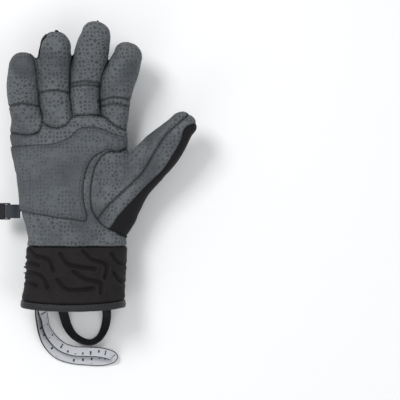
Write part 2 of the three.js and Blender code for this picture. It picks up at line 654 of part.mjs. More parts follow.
function cuffPieces() {
  const hollow = cuffBand(-HEM_HEIGHT - 1, PALM_START + 2, -CUFF_WALL, 6);
  const ring = cuffBand(CUFF_START, CUFF_END, 0, 6).subtract(hollow);
  const slit = prism(slitOutline(0), -ROOM, CUFF_BASE + CUFF_DEPTH / 2);
  const open = ring.subtract(slit);
  let palm = open.subtract(backBlock(SLIT_PLACE + GAP, SEAM_HEIGHT + GAP / 2));
  for (const points of CUFF_GROOVES) {
    palm = palm.subtract(groove(points));
  }
  const back = open.intersect(backBlock(SLIT_PLACE - GAP, SEAM_HEIGHT - GAP / 2));
  const inside = cuffBand(-HEM_HEIGHT, CUFF_END, -CUFF_WALL, 4);
  const hem = cuffBand(0, HEM_HEIGHT, HEM_PROUD, 1).subtract(inside).subtract(slit);
  return { palm, back, hem };
}

function slitGusset() {
  // The thin panel behind the slit, just inside the cuff wall
  const face = cuffBand(1, CUFF_END - 1, -CUFF_WALL - GAP, 3);
  const skin = face.subtract(cuffBand(-1, PALM_START, -CUFF_WALL - GAP - GUSSET_WALL, 3));
  const half = SLIT_WIDTH / 2 + BINDING_WIDTH;
  const window = prism([
    new THREE.Vector2(SLIT_PLACE - half, -ROOM), new THREE.Vector2(SLIT_PLACE + half, -ROOM),
    new THREE.Vector2(SLIT_PLACE + half, ROOM), new THREE.Vector2(SLIT_PLACE - half, ROOM),
  ], -ROOM, CUFF_BASE + CUFF_DEPTH / 2);
  return largest(skin.intersect(window));
}

function slitBinding() {
  const skin = cuffBand(CUFF_START, CUFF_END, GAP + BINDING_THICKNESS, 6)
    .subtract(cuffBand(-1, PALM_START, GAP, 6));
  const rim = prism(slitOutline(BINDING_WIDTH), -ROOM, CUFF_BASE + CUFF_DEPTH / 2)
    .subtract(prism(slitOutline(0), -2 * ROOM, ROOM));
  return largest(skin.intersect(rim));
}

function closureTab() {
  // The strap across the back of the wrist, over the slit and its binding, flattened on the floor
  const inside = 2 * GAP + BINDING_THICKNESS;
  const skin = cuffBand(0, CUFF_END, inside + TAB_THICKNESS, 6).subtract(cuffBand(-1, PALM_START, inside, 6));
  const start = SLIT_PLACE + SLIT_WIDTH / 2;
  const end = start - TAB_LENGTH;
  const low = CUFF_START + WALL;
  const outline = prism([
    new THREE.Vector2(end, low), new THREE.Vector2(start, low),
    new THREE.Vector2(start, low + TAB_WIDTH), new THREE.Vector2(end + TAB_SLANT, low + TAB_WIDTH),
  ], FLOOR, CUFF_BASE + CUFF_DEPTH / 2);
  return largest(skin.intersect(outline));
}

// Webbing
function webbing(stations, width, thickness) {
  // A flat band along the stations; turn leans it about its run, 0 lying flat
  const centers = stations.map((station) => station.center);
  const curve = new THREE.CatmullRomCurve3(centers, false, 'centripetal');
  const rings = [];
  const steps = (stations.length - 1) * 2;
  for (let i = 0; i <= steps; i += 1) {
    const place = i / 2;
    const center = curve.getPoint(i / steps);
    const forward = curve.getTangent(i / steps);
    const level = new THREE.Vector3(forward.y, -forward.x, 0).normalize();
    const here = stations[Math.floor(place)];
    const next = stations[Math.min(Math.floor(place) + 1, stations.length - 1)];
    const turn = THREE.MathUtils.degToRad(THREE.MathUtils.lerp(here.turn, next.turn, place % 1));
    const side = level.applyAxisAngle(forward, turn);
    const face = side.clone().cross(forward).normalize();
    const corner = (across, above) => center.clone()
      .addScaledVector(side, across * width)
      .addScaledVector(face, above * thickness);
    rings.push([corner(-0.5, -0.5), corner(0.5, -0.5), corner(0.5, 0.5), corner(-0.5, 0.5)]);
  }
  return loft(rings);
}

function insideCuff(x) {
  // The height of the cuff's inner back wall at x
  const row = cuffRow(0, -CUFF_WALL);
  const half = (row.thumb - row.little) / 2;
  const share = Math.abs(x - (row.thumb + row.little) / 2) / half;
  const fall = (1 - Math.min(share, 0.98) ** CUFF_CORNER) ** (1 / CUFF_CORNER);
  return (row.palm + row.back) / 2 - (fall * (row.palm - row.back)) / 2;
}

function pullLoop() {
  const stations = LOOP_STATIONS.map((row) => {
    const lean = THREE.MathUtils.degToRad(Math.abs(row.turn));
    const x = LOOP_PLACE + (row.across * LOOP_SPAN) / 2;
    const resting = GAP + (Math.sin(lean) * LOOP_WIDTH + Math.cos(lean) * WEBBING) / 2;
    const start = insideCuff(x) + GUSSET_WALL + 2 * (GAP + WEBBING);
    const fall = THREE.MathUtils.smoothstep(row.out, LOOP_FALL.from, LOOP_FALL.to);
    const height = THREE.MathUtils.lerp(start, resting, fall);
    return { center: new THREE.Vector3(x, -HEM_BOW - row.out * LOOP_REACH, height), turn: -row.turn };
  });
  return webbing(stations, LOOP_WIDTH, WEBBING);
}

function leashLoop() {
  const stations = LEASH_STATIONS.map((row) => ({
    center: new THREE.Vector3(
      LEASH_PLACE + row.right * LEASH_RUN,
      -row.down * LEASH_DROP,
      row.high * WEBBING,
    ),
    turn: row.turn,
  }));
  return webbing(stations, LEASH_WIDTH, WEBBING);
}

// Side clip
const CLIP_Y = PALM_START + CLIP_PLACE * PALM_LENGTH;
const CLIP_ROW = rowAt(HAND_SECTIONS, CLIP_PLACE);
const CLIP_X = CLIP_ROW.little * PALM_WIDTH - PATCH_THICKNESS - 2 * GAP;
const CLIP_Z = ((CLIP_ROW.back + CLIP_ROW.palm) / 2) * PALM_DEPTH;

function bentBand(points, width) {
  // A band of constant thickness bent in the upright plane across the hand
  const stations = points.map(([x, z]) => new THREE.Vector2(x, z));
  const outline = [...shiftLine(stations, WEBBING / 2), ...shiftLine(stations, -WEBBING / 2).reverse()];
  const geometry = new THREE.ExtrudeGeometry(new THREE.Shape(outline), { depth: width, bevelEnabled: false });
  geometry.rotateX(Math.PI / 2);
  geometry.translate(0, CLIP_Y + width / 2, 0);
  return toSolid(geometry);
}

function clipWebbing() {
  // A folded loop of webbing that holds the clip's bar
  const bar = CLIP_X - CLIP_WEB_LENGTH;
  const turn = bar - CLIP_BAR - 2 * GAP - WEBBING / 2;
  const rise = CLIP_THICKNESS / 2 + 2 * GAP + WEBBING / 2;
  const upper = [
    [CLIP_X, WEBBING * 0.9], [CLIP_X - CLIP_WEB_LENGTH * 0.3, WEBBING * 0.8],
    [CLIP_X - CLIP_WEB_LENGTH * 0.8, rise], [bar - CLIP_BAR, rise], [turn, rise * 0.6],
  ];
  const lower = upper.map(([x, z]) => [x, -z]).reverse();
  return bentBand([...upper, ...lower].map(([x, z]) => [x, CLIP_Z + z]), CLIP_WEB_WIDTH);
}

function rectangle(left, right, low, high) {
  return [
    new THREE.Vector2(left, low), new THREE.Vector2(right, low),
    new THREE.Vector2(right, high), new THREE.Vector2(left, high),
  ];
}

function clipHook() {
  // A flat plastic frame: a bar inside the webbing, two arms and a thicker outer bar with a hook slot
  const inner = CLIP_X - CLIP_WEB_LENGTH;
  const outerEnd = inner - CLIP_LENGTH;
  const half = CLIP_WIDTH / 2;
  const slotHalf = CLIP_WEB_WIDTH / 2 + GAP;
  const slotStart = outerEnd + CLIP_OUTER_BAR;
  const shape = new THREE.Shape(rectangle(outerEnd, inner, CLIP_Y - half, CLIP_Y + half));
  const slot = rectangle(slotStart, inner - CLIP_BAR, CLIP_Y - slotHalf, CLIP_Y + slotHalf);
  shape.holes.push(new THREE.Path(slot));
  const geometry = new THREE.ExtrudeGeometry(shape, { depth: CLIP_THICKNESS, bevelEnabled: false });
  geometry.translate(0, 0, CLIP_Z - CLIP_THICKNESS / 2);
  return toSolid(geometry);
}

// Finishes
const finish = (color, roughness) => new THREE.MeshStandardMaterial({ color, roughness, metalness: 0 });
const leather = finish(0x555b5f, 0.7);
const softshell = finish(0x1a1a1b, 0.9);
const neoprene = finish(0x231f20, 0.85);
const tape = finish(0x2b2d2e, 0.6);
const web = finish(0x202122, 0.8);
const plastic = finish(0x121212, 0.4);

const cuff = cuffPieces();
const group = new THREE.Group();
const pieces = [
  ['palm_leather', palmLeather, leather],
  ['palm_patch', palmPatch(), leather],
  ['little_finger_front', littleFront, leather],
  ['ring_finger_front', ringFront, leather],
  ['middle_finger_front', middleFront, leather],
  ['index_finger_front', indexFront, leather],
  ['thumb_web_panel', thumbWeb, leather],
  ['thumb_side_panel', thumbSide, leather],
  ['thumb_back', thumbBack, softshell],
  ['finger_backs', fingerBacks, softshell],
  ['hand_back', handBack, softshell],
  ['wrist_back', wristBack, softshell],
  ['cuff_palm', cuff.palm, neoprene],
  ['cuff_back', cuff.back, softshell],
  ['cuff_hem', cuff.hem, tape],
  ['slit_gusset', slitGusset(), softshell],
  ['slit_binding', slitBinding(), tape],
  ['closure_tab', closureTab(), softshell],
  ['pull_loop', pullLoop(), web],
  ['leash_loop', leashLoop(), web],
  ['clip_webbing', clipWebbing(), web],
  ['clip_hook', clipHook(), plastic],
];
for (const [name, solid, material] of pieces) {
  const mesh = new THREE.Mesh(toGeometry(largest(solid)), material);
  mesh.name = name;
  group.add(mesh);
}

// The origin is the middle of the glove's box, on the floor
const box = new THREE.Box3().setFromObject(group);
const middle = box.getCenter(new THREE.Vector3());
group.position.set(-middle.x, -middle.y, FLOOR - box.min.z);

export default group;
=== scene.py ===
"""Right-hand climbing glove, palm up: leather palm and fingers, softshell back, raised cuff, webbing."""

import math

import bmesh
import bpy
import numpy as np
from mathutils import Matrix, Vector, noise
from mathutils.bvhtree import BVHTree
from mathutils.kdtree import KDTree


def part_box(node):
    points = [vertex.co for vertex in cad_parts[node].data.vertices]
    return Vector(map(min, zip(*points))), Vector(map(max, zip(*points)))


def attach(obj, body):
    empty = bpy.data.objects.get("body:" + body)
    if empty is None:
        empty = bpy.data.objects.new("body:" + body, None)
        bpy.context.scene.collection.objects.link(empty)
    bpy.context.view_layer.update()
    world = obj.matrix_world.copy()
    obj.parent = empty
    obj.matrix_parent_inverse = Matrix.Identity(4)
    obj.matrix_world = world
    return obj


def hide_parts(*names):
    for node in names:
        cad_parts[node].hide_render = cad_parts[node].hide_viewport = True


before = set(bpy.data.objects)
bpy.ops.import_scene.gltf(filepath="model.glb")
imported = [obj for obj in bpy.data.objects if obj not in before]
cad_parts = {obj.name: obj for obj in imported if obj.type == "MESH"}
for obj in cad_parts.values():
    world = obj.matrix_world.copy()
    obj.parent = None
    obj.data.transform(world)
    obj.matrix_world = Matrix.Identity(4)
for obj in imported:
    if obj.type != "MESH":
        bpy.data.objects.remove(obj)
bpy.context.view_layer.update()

# Driving sizes in millimetres, as in the part's source
PALM_WIDTH = 103
PALM_LENGTH = 112.6
PALM_DEPTH = 43
FINGER_WIDTH = 27.4
FINGER_DEPTH = 25
FINGER_LIFT = 33
KNUCKLE_HEIGHT = 17
THUMB_REACH = 123
THUMB_WIDTH = 35.2
THUMB_DEPTH = 34
THUMB_ANGLE = math.radians(38.9)
THUMB_HEIGHT = 20
THUMB_LIFT = 17
WALL = 1.8
PATCH_THICKNESS = 1.2
GAP = 0.3
CUFF_WIDTH = 87
CUFF_DEPTH = 46
CUFF_LENGTH = 46.4
CUFF_BASE = 3.2
CUFF_WALL = 3
HEM_HEIGHT = 6
HEM_BOW = 2.4
SLIT_WIDTH = 14
SLIT_PLACE = 29
GUSSET_WALL = 1.2
BINDING_WIDTH = 3.6
BINDING_THICKNESS = 1
TAB_LENGTH = 76
TAB_WIDTH = 31
TAB_THICKNESS = 2.2
TAB_SLANT = 8
LOOP_WIDTH = 8.4
LOOP_REACH = 31
LOOP_SPAN = 39
LOOP_PLACE = 6
LEASH_WIDTH = 8.8
LEASH_RUN = 61
LEASH_DROP = 49
LEASH_PLACE = -33.5
WEBBING = 1.3
CLIP_WEB_WIDTH = 12
CLIP_WEB_LENGTH = 8.6
CLIP_LENGTH = 11
CLIP_BAR = 2.2
CLIP_OUTER_BAR = 6.4
CLIP_WIDTH = 14.6
CLIP_THICKNESS = 3.6
CLIP_PLACE = 0.27
CUFF_CORNER = 2.5
CUFF_SEAM = 0.42
FINGER_CORNER = 2.2

CUFF_START = HEM_HEIGHT + GAP
CUFF_END = CUFF_START + CUFF_LENGTH
PALM_START = CUFF_END + GAP
SEAM_HEIGHT = CUFF_BASE + CUFF_SEAM * CUFF_DEPTH
ROOM = 4 * PALM_WIDTH
LITTLE_BULGE = 0.572
DOME_SHARE = 0.35
DOME_ROUNDNESS = 0.86

# How finely the skin is meshed, and how often it is smoothed
VOXEL = 1.15
SKIN_ROUNDS = 5
CUFF_GRID = (300, 110)
HEM_GRID = (300, 28)
GUSSET_GRID = (220, 70)

# Uneven swells: height and pitch, and where the pattern starts
HAND_SWELL = (0.5, 17)
CUFF_SWELL = (0.35, 13, 5.0)
HEM_SWELL = (0.25, 9, 2.0)
GUSSET_SWELL = (0.6, 8, 3.0)

# Pressed lines: depth, width, lip and the strength of painted shade in them
SOFT_FOLD = (1.0, 4.5, 0.4)
PATCH_FOLD = (1.1, 5.0, 0.5)
FINGER_CREASE = (1.2, 1.0, 0.35, 0.8)
GROOVE = (1.8, 1.3, 0.8, 0.6)

# Sewn rims: depth, reach and the swell beside them
PATCH_RIM = (0.7, 1.1, 0.25)
CUFF_RIM = (0.6, 1.2, 0.2)
BINDING_RIM = (0.9, 0.8, 0.0)
TAB_RIM = (0.5, 0.8, 0.0)

# Rolled hem: how far it stands out at its edge, middle and piping
HEM_PROUD = 0.4
HEM_ROLL = 0.8
PIPING = 0.55
PIPING_PLACE = 0.88
PIPING_REACH = 0.09

# Stitches: how far each row runs from its seam
PATCH_ROWS = (-1.7, -3.4)
BASE_ROWS = (-1.6, 1.6)
SEAM_ROWS = (-1.5, 1.5)
TAB_INSET = 2
HEM_ROW = 4.6
HEM_STITCH = (2.2, 1.5, 0.28)
BELOW = -40
ABOVE = 120

# How far the painted shade of a seam reaches into the panels, and the rounding of webbing and plastic edges
SEAM_SHADE_REACH = 0.8
WEBBING_EDGE = 0.35
CLIP_EDGE = 0.6

# The model's place in the frame, in millimetres
SHIFT = Vector((
    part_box("palm_leather")[0][0] * 1000 + LITTLE_BULGE * PALM_WIDTH,
    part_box("cuff_palm")[1][1] * 1000 - CUFF_END,
    0,
))

# Hand sections: along, little side, thumb side, back, palm, corner
HAND_SECTIONS = [
    (0.00, -0.420, 0.430, 0.10, 1.09, 2.4),
    (0.07, -0.413, 0.423, 0.09, 1.02, 2.4),
    (0.14, -0.428, 0.470, 0.07, 0.98, 2.4),
    (0.22, -0.457, 0.513, 0.05, 1.00, 2.4),
    (0.33, -0.470, 0.530, 0.03, 1.02, 2.5),
    (0.48, -0.488, 0.500, 0.01, 1.00, 2.6),
    (0.62, -0.513, 0.460, 0.00, 0.95, 2.7),
    (0.76, -0.550, 0.435, 0.03, 0.88, 2.7),
    (0.88, -0.572, 0.430, 0.06, 0.79, 2.7),
    (1.00, -0.555, 0.422, 0.13, 0.66, 2.6),
]

# Finger sections: along, side, lift, width, depth, and each finger's reach
FINGERS = {
    "little": (53.7, [
        (-0.23, -0.415, 0.00, 1.00, 0.90), (0.00, -0.423, 0.02, 1.05, 0.94),
        (0.26, -0.449, 0.14, 1.00, 0.94), (0.51, -0.449, 0.36, 1.03, 0.98),
        (0.79, -0.432, 0.66, 0.93, 0.90), (1.00, -0.412, 0.88, 0, 0),
    ]),
    "ring": (70.8, [
        (-0.17, -0.150, 0.00, 1.00, 0.92), (0.00, -0.160, 0.02, 1.00, 0.98),
        (0.32, -0.185, 0.15, 0.99, 0.98), (0.65, -0.182, 0.45, 1.07, 1.02),
        (0.86, -0.160, 0.76, 0.96, 0.94), (1.00, -0.146, 0.97, 0, 0),
    ]),
    "middle": (79.8, [
        (-0.16, 0.081, 0.00, 0.92, 0.92), (0.00, 0.077, 0.02, 0.95, 1.00),
        (0.26, 0.080, 0.13, 0.96, 1.00), (0.51, 0.101, 0.33, 1.06, 1.04),
        (0.75, 0.148, 0.64, 1.04, 1.02), (0.88, 0.182, 0.85, 0.90, 0.92), (1.00, 0.200, 1.00, 0, 0),
    ]),
    "index": (62.4, [
        (-0.24, 0.305, 0.00, 0.84, 0.92), (0.00, 0.322, 0.02, 0.84, 0.98),
        (0.25, 0.331, 0.10, 0.92, 0.98), (0.47, 0.356, 0.22, 1.00, 1.00),
        (0.70, 0.408, 0.44, 1.02, 1.00), (0.85, 0.446, 0.64, 0.88, 0.90), (1.00, 0.458, 0.80, 0, 0),
    ]),
}

# Thumb sections: along, bow, lift, width, depth
THUMB_SECTIONS = [
    (0.00, 0.00, 0.00, 0.98, 0.90), (0.17, -0.04, 0.06, 1.08, 1.02), (0.37, -0.13, 0.18, 1.03, 1.02),
    (0.54, -0.10, 0.36, 1.02, 0.97), (0.69, -0.06, 0.56, 0.98, 0.88), (0.83, -0.04, 0.78, 0.80, 0.76),
    (0.91, -0.03, 0.90, 0.68, 0.68), (1.00, 0.00, 1.00, 0, 0),
]
THUMB_ROOT = (0.23, 0.156)

# Back shell edges: along, seam, wrap, edge
BACK_EDGES = [
    (-0.10, 0.46, 0.30, 0.335), (0.40, 0.46, 0.26, 0.325),
    (0.80, 0.38, 0.24, 0.320), (1.04, 0.28, 0.26, 0.330),
]
FINGER_BACK_SHARE = 0.2
FINGER_BACK_WIDTH = 0.56
PATCH_LOW = 0.56

# Seam lines in plan: shares of PALM_WIDTH, and of PALM_LENGTH from the cuff
FINGER_BASE_LINE = [
    (-0.70, 0.880), (-0.57, 0.880), (-0.40, 0.863), (-0.31, 0.885), (-0.285, 0.965), (-0.245, 0.935),
    (-0.16, 0.918), (-0.09, 0.937), (-0.03, 1.005), (0.03, 1.013), (0.21, 1.013), (0.30, 0.953),
    (0.38, 0.914), (0.50, 0.880),
]
LITTLE_RING_LINE = [
    (-0.287, 0.90), (-0.290, 1.00), (-0.318, 1.12), (-0.318, 1.25), (-0.320, 1.36), (-0.338, 1.44),
    (-0.420, 1.52), (-0.600, 1.60),
]
RING_MIDDLE_LINE = [
    (-0.030, 0.95), (-0.040, 1.05), (-0.055, 1.20), (-0.045, 1.34), (-0.034, 1.41),
    (-0.015, 1.52), (0.000, 1.80),
]
MIDDLE_INDEX_LINE = [
    (0.215, 0.95), (0.205, 1.06), (0.203, 1.20), (0.228, 1.32), (0.262, 1.40), (0.305, 1.47),
    (0.350, 1.54), (0.420, 1.62), (0.600, 1.80),
]
THUMB_LINE = [
    (0.64, 1.60), (0.60, 1.25), (0.55, 0.94), (0.44, 0.775), (0.36, 0.730), (0.29, 0.735), (0.22, 0.690),
    (0.165, 0.595), (0.135, 0.440), (0.140, 0.310), (0.175, 0.235), (0.24, 0.160), (0.333, 0.117),
    (0.42, 0.075), (0.70, 0.060),
]
THUMB_SEAM_LINE = [
    (0.10, 0.110), (0.20, 0.220), (0.287, 0.320), (0.367, 0.390), (0.484, 0.490), (0.573, 0.570),
    (0.627, 0.656), (0.710, 0.780), (0.778, 0.870), (0.920, 0.984), (1.15, 1.180),
]
THUMB_BLACK_LINE = [
    (0.20, 0.010), (0.346, 0.205), (0.419, 0.289), (0.516, 0.383), (0.615, 0.477), (0.744, 0.594),
    (0.843, 0.727), (0.897, 0.820), (0.945, 0.920), (1.20, 1.000),
]
KNUCKLE_LINE = [
    (-0.75, 0.760), (-0.49, 0.780), (-0.23, 0.870), (0.03, 0.890), (0.28, 0.850), (0.60, 0.780),
]
WRIST_LINE = [(-0.75, 0.340), (-0.45, 0.290), (-0.15, 0.190), (0.28, 0.065), (0.60, 0.010)]
PATCH_OUTLINE = [
    (-0.75, 0.770), (-0.33, 0.780), (-0.17, 0.795), (-0.05, 0.840), (0.02, 0.905), (0.08, 0.920),
    (0.18, 0.920), (0.27, 0.890), (0.37, 0.855), (0.46, 0.835), (0.42, 0.760), (0.34, 0.735),
    (0.28, 0.745), (0.225, 0.725), (0.15, 0.675), (0.105, 0.600), (0.080, 0.500), (0.078, 0.370),
    (0.105, 0.210), (0.000, 0.208), (-0.22, 0.234), (-0.47, 0.273), (-0.75, 0.290),
]

# Corners far outside the glove, which close a seam line to an area
HIGH = (ROOM, ROOM)
LOW = (ROOM, -ROOM)
HIGH_LEFT = (-ROOM, ROOM)
LEFT = (-ROOM, 0)

# Creases across the fingers and folds of the thumb and palm, in plan as the seam lines are
FINGER_CREASES = [
    [(-0.58, 1.085), (-0.45, 1.098), (-0.31, 1.085)],
    [(-0.31, 1.190), (-0.18, 1.200), (-0.05, 1.190)],
    [(-0.05, 1.232), (0.08, 1.245), (0.21, 1.235)],
    [(-0.05, 1.256), (0.08, 1.269), (0.21, 1.258)],
    [(0.19, 1.125), (0.32, 1.150), (0.47, 1.135)],
    [(0.20, 1.085), (0.33, 1.100), (0.45, 1.080)],
]
SOFT_FOLDS = [
    [(0.59, 0.755), (0.575, 0.700), (0.60, 0.640), (0.64, 0.590)],
    [(-0.44, 0.700), (-0.30, 0.640), (-0.10, 0.600)],
    [(-0.05, 0.560), (0.02, 0.430), (0.03, 0.300)],
    [(-0.46, 0.180), (-0.20, 0.130), (0.05, 0.110)],
    [(0.25, 0.430), (0.33, 0.470), (0.42, 0.560)],
    [(-0.40, 0.055), (-0.10, 0.040), (0.25, 0.060)],
]

# Cuff sections: along, little side, thumb side, back, palm
CUFF_SECTIONS = [
    (0.00, -0.545, 0.487, 0.00, 1.06), (0.35, -0.512, 0.493, 0.00, 1.02),
    (0.70, -0.503, 0.503, 0.00, 1.00), (1.00, -0.500, 0.512, 0.00, 0.98),
]

# Grooves of the raised cuff: shares of CUFF_WIDTH and CUFF_LENGTH
CUFF_GROOVES = [
    [(-0.44, 0.95), (-0.37, 0.84), (-0.25, 0.77), (-0.20, 0.56)],
    [(-0.50, 0.74), (-0.47, 0.73), (-0.35, 0.66)],
    [(-0.50, 0.55), (-0.47, 0.54), (-0.32, 0.47), (-0.26, 0.26)],
    [(-0.50, 0.36), (-0.47, 0.35), (-0.37, 0.29)],
    [(-0.13, 0.88), (-0.04, 0.68), (0.21, 0.60)],
    [(0.09, 0.94), (0.18, 0.78), (0.32, 0.67), (0.31, 0.44)],
    [(0.00, 0.55), (0.11, 0.42), (0.26, 0.34), (0.27, 0.16)],
    [(-0.16, 0.40), (-0.05, 0.22), (0.19, 0.24)],
    [(0.37, 0.88), (0.43, 0.70), (0.50, 0.66)],
    [(0.39, 0.52), (0.45, 0.34), (0.50, 0.30)],
]

# Pull loop: across, out, turn in degrees. Leash: right, down, high, turn.
LOOP_STATIONS = [
    (-1.00, -0.16, 0), (-1.00, 0.02, 2), (-0.95, 0.26, 14), (-0.82, 0.54, 34), (-0.54, 0.80, 52),
    (-0.10, 0.97, 60), (0.30, 1.00, 60), (0.66, 0.86, 52), (0.88, 0.60, 38), (0.98, 0.30, 26),
    (1.00, 0.04, 20), (1.00, -0.16, 20),
]
LOOP_FALL = (-0.1, 0.5)
LEASH_STATIONS = [
    (0.000, -0.14, 11.2, -28), (0.000, 0.05, 11.0, -32), (-0.010, 0.26, 6.2, -50), (0.020, 0.50, 3.6, -44),
    (0.100, 0.72, 2.2, -22), (0.240, 0.90, 1.2, -8), (0.440, 0.99, 0.75, 0), (0.660, 1.02, 0.75, 0),
    (0.860, 1.03, 0.75, 0), (0.990, 1.00, 1.4, 0), (1.050, 0.95, 3.4, 0), (1.000, 0.90, 5.3, 0),
    (0.860, 0.86, 5.6, 0), (0.660, 0.85, 4.8, 0), (0.480, 0.84, 4.2, 4), (0.300, 0.76, 4.2, 14),
    (0.165, 0.60, 5.2, 32), (0.085, 0.42, 6.4, 50), (0.060, 0.24, 8.4, 50), (0.035, 0.04, 13.0, 32),
    (0.030, -0.14, 13.4, 28),
]


# Lamps: place, size and power
LAMPS = {
    "key": ((-0.55, 0.65, 1.1), 0.5, 11),
    "fill": ((0.9, -0.4, 1.0), 1.0, 5),
    "low": ((-0.6, -0.9, 0.6), 0.8, 3),
}
SKY = (0.95, 0.97, 1)
SKY_STRENGTH = 0.55
FLOOR_GREY = (0.86, 0.86, 0.86)
FLOOR_SIZE = 4
CAMERA_PLACE = (0.0906, -0.0029, 1.193)
CAMERA_LENS = 120


# Curves through the tables
def blend_rows(rows, place):
    """The row at a place between the table's rows, on a smooth curve through them."""
    table = np.array(rows, dtype=float)
    top = len(rows) - 1
    whole = min(max(int(place), 0), top - 1)
    t = place - whole
    a = table[max(whole - 1, 0)]
    b = table[whole]
    c = table[whole + 1]
    d = table[min(whole + 2, top)]
    bend = t * (2 * a - 5 * b + 4 * c - d + t * (3 * b - a - 3 * c + d))
    return b + 0.5 * t * (c - a + bend)


def row_at(rows, along):
    """The row at a given share along the piece."""
    low, high = 0.0, len(rows) - 1.0
    for _ in range(24):
        middle = (low + high) / 2
        if blend_rows(rows, middle)[0] < along:
            low = middle
        else:
            high = middle
    return blend_rows(rows, low)


def smooth_line(points, steps=6):
    """A plan line as close points on a smooth curve."""
    count = (len(points) - 1) * steps
    return np.array([blend_rows(points, i / steps) for i in range(count + 1)])


def on_palm(points):
    return [(x * PALM_WIDTH, PALM_START + y * PALM_LENGTH) for x, y in points]


def on_cuff(points):
    return [(x * CUFF_WIDTH, CUFF_START + y * CUFF_LENGTH) for x, y in points]


def round_point(center, side, up, half_width, half_depth, corner, share):
    angle = share * 2 * math.pi
    across = math.copysign(abs(math.cos(angle)) ** (2 / corner), math.cos(angle)) * half_width
    above = math.copysign(abs(math.sin(angle)) ** (2 / corner), math.sin(angle)) * half_depth
    return center + side * across + up * above


# Mesh helpers, in the model's millimetres
def mapped(surface, across, along):
    """A fine grid laid on a surface of two shares from 0 to 1."""
    bm = bmesh.new()
    bm.loops.layers.uv.new("UVMap")
    bmesh.ops.create_grid(bm, x_segments=across, y_segments=along, size=0.5, calc_uvs=True)
    for vert in bm.verts:
        vert.co = surface(vert.co.x + 0.5, vert.co.y + 0.5)
    return bm


def tube(surface, across, along):
    """The same grid closed round its length and at both ends."""
    bm = mapped(surface, across, along)
    bmesh.ops.remove_doubles(bm, verts=bm.verts, dist=0.001)
    bmesh.ops.holes_fill(bm, edges=[edge for edge in bm.edges if edge.is_boundary], sides=0)
    bmesh.ops.recalc_face_normals(bm, faces=bm.faces)
    return bm


def places(bm):
    return np.array([vert.co for vert in bm.verts]).reshape(-1, 3)


def distance_to(line, co):
    """Distance in plan from each place to a line of close points."""
    best = np.full(len(co), np.inf)
    for start, end in zip(line[:-1], line[1:]):
        run = end - start
        share = np.clip(((co[:, :2] - start) @ run) / max(run @ run, 1e-9), 0, 1)
        gap = co[:, :2] - start - share[:, None] * run
        best = np.minimum(best, np.hypot(gap[:, 0], gap[:, 1]))
    return best


def inside_outline(outline, co):
    inside = np.zeros(len(co), dtype=bool)
    x, y = co[:, 0], co[:, 1]
    for (x0, y0), (x1, y1) in zip(outline, np.roll(outline, -1, axis=0)):
        if y0 == y1:
            continue
        passes = ((y0 > y) != (y1 > y)) & (x < (x1 - x0) * (y - y0) / (y1 - y0) + x0)
        inside ^= passes
    return inside


def line_field(line, corners):
    """Signed distance from a line: negative on the side of the far corners."""
    outline = np.array([*map(tuple, line), *corners])

    def field(co):
        return np.where(inside_outline(outline, co), -1, 1) * distance_to(line, co)
    return field


def part_along(bm, field):
    """Cuts a shell where the field is zero, and gives its negative and positive parts."""
    bm.verts.index_update()
    values = field(places(bm))
    crossing = {}
    for edge in bm.edges:
        first, second = (values[vert.index] for vert in edge.verts)
        if (first < 0) != (second < 0):
            crossing[edge] = min(max(first / (first - second), 0.02), 0.98)
    cut = bmesh.ops.bisect_edges(bm, edges=list(crossing), cuts=1, edge_percents=crossing)
    new = [item for item in cut["geom_split"] if isinstance(item, bmesh.types.BMVert)]
    bmesh.ops.connect_verts(bm, verts=new)
    bm.faces.index_update()
    sides = field(np.array([face.calc_center_median() for face in bm.faces]).reshape(-1, 3)) < 0
    other = bm.copy()
    for shell, unwanted in ((bm, ~sides), (other, sides)):
        faces = [face for face, gone in zip(list(shell.faces), unwanted) if gone]
        bmesh.ops.delete(shell, geom=faces, context="FACES")
    return bm, other


def push(bm, amounts):
    """Moves each vertex along its normal."""
    bm.normal_update()
    normals = [vert.normal.copy() for vert in bm.verts]
    for vert, normal, amount in zip(bm.verts, normals, amounts):
        vert.co += normal * float(amount)


def even_rim(bm, rounds=3):
    """Takes the small steps out of a cut edge."""
    for _ in range(rounds):
        moves = {}
        for vert in bm.verts:
            if not vert.is_boundary:
                continue
            near = [edge.other_vert(vert).co for edge in vert.link_edges if edge.is_boundary]
            if len(near) == 2:
                moves[vert] = vert.co.lerp((near[0] + near[1]) / 2, 0.4)
        for vert, place in moves.items():
            vert.co = place


def seam_shade_layer(bm):
    """How near each vertex is to a seam or a shaded crease, where its colour gets painted shade."""
    return bm.verts.layers.float.get("seam") or bm.verts.layers.float.new("seam")


def sew(bm, depth=0.6, reach=1.5, puff=0.3):
    """Sinks a panel's rim into its seam and lets it swell beside it."""
    layer = seam_shade_layer(bm)
    even_rim(bm)
    rim = [vert for vert in bm.verts if vert.is_boundary]
    tree = KDTree(len(rim))
    for i, vert in enumerate(rim):
        tree.insert(vert.co, i)
    tree.balance()
    amounts = []
    for vert in bm.verts:
        away = tree.find(vert.co)[2]
        sink = depth * math.exp(-(away / reach) ** 2)
        swell = puff * math.exp(-((away - 3.2 * reach) / (2 * reach)) ** 2)
        amounts.append(swell - sink)
        # painted shade along the sunk seam, fading away from the rim
        vert[layer] = max(vert[layer], math.exp(-(away / SEAM_SHADE_REACH) ** 2))
    push(bm, amounts)


def crease(bm, lines, depth, width, lip=0.0, dark=0.0):
    """Presses lines into a shell's palm side, with a soft lip on both sides and painted shade in the line
    when dark is given.
    """
    layer = seam_shade_layer(bm)
    bm.normal_update()
    upper = np.array([min(max(vert.normal.z * 2 + 0.4, 0), 1) for vert in bm.verts])
    co = places(bm)
    amounts = np.zeros(len(co))
    for line in lines:
        away = distance_to(smooth_line(line), co)
        press = np.exp(-(away / width) ** 2)
        amounts += lip * np.exp(-((away - 2.2 * width) / width) ** 2) - depth * press
        # painted shade in the pressed line, only on the upward-facing side
        for vert, near in zip(bm.verts, dark * press * upper):
            vert[layer] = max(vert[layer], float(near))
    push(bm, amounts * upper)


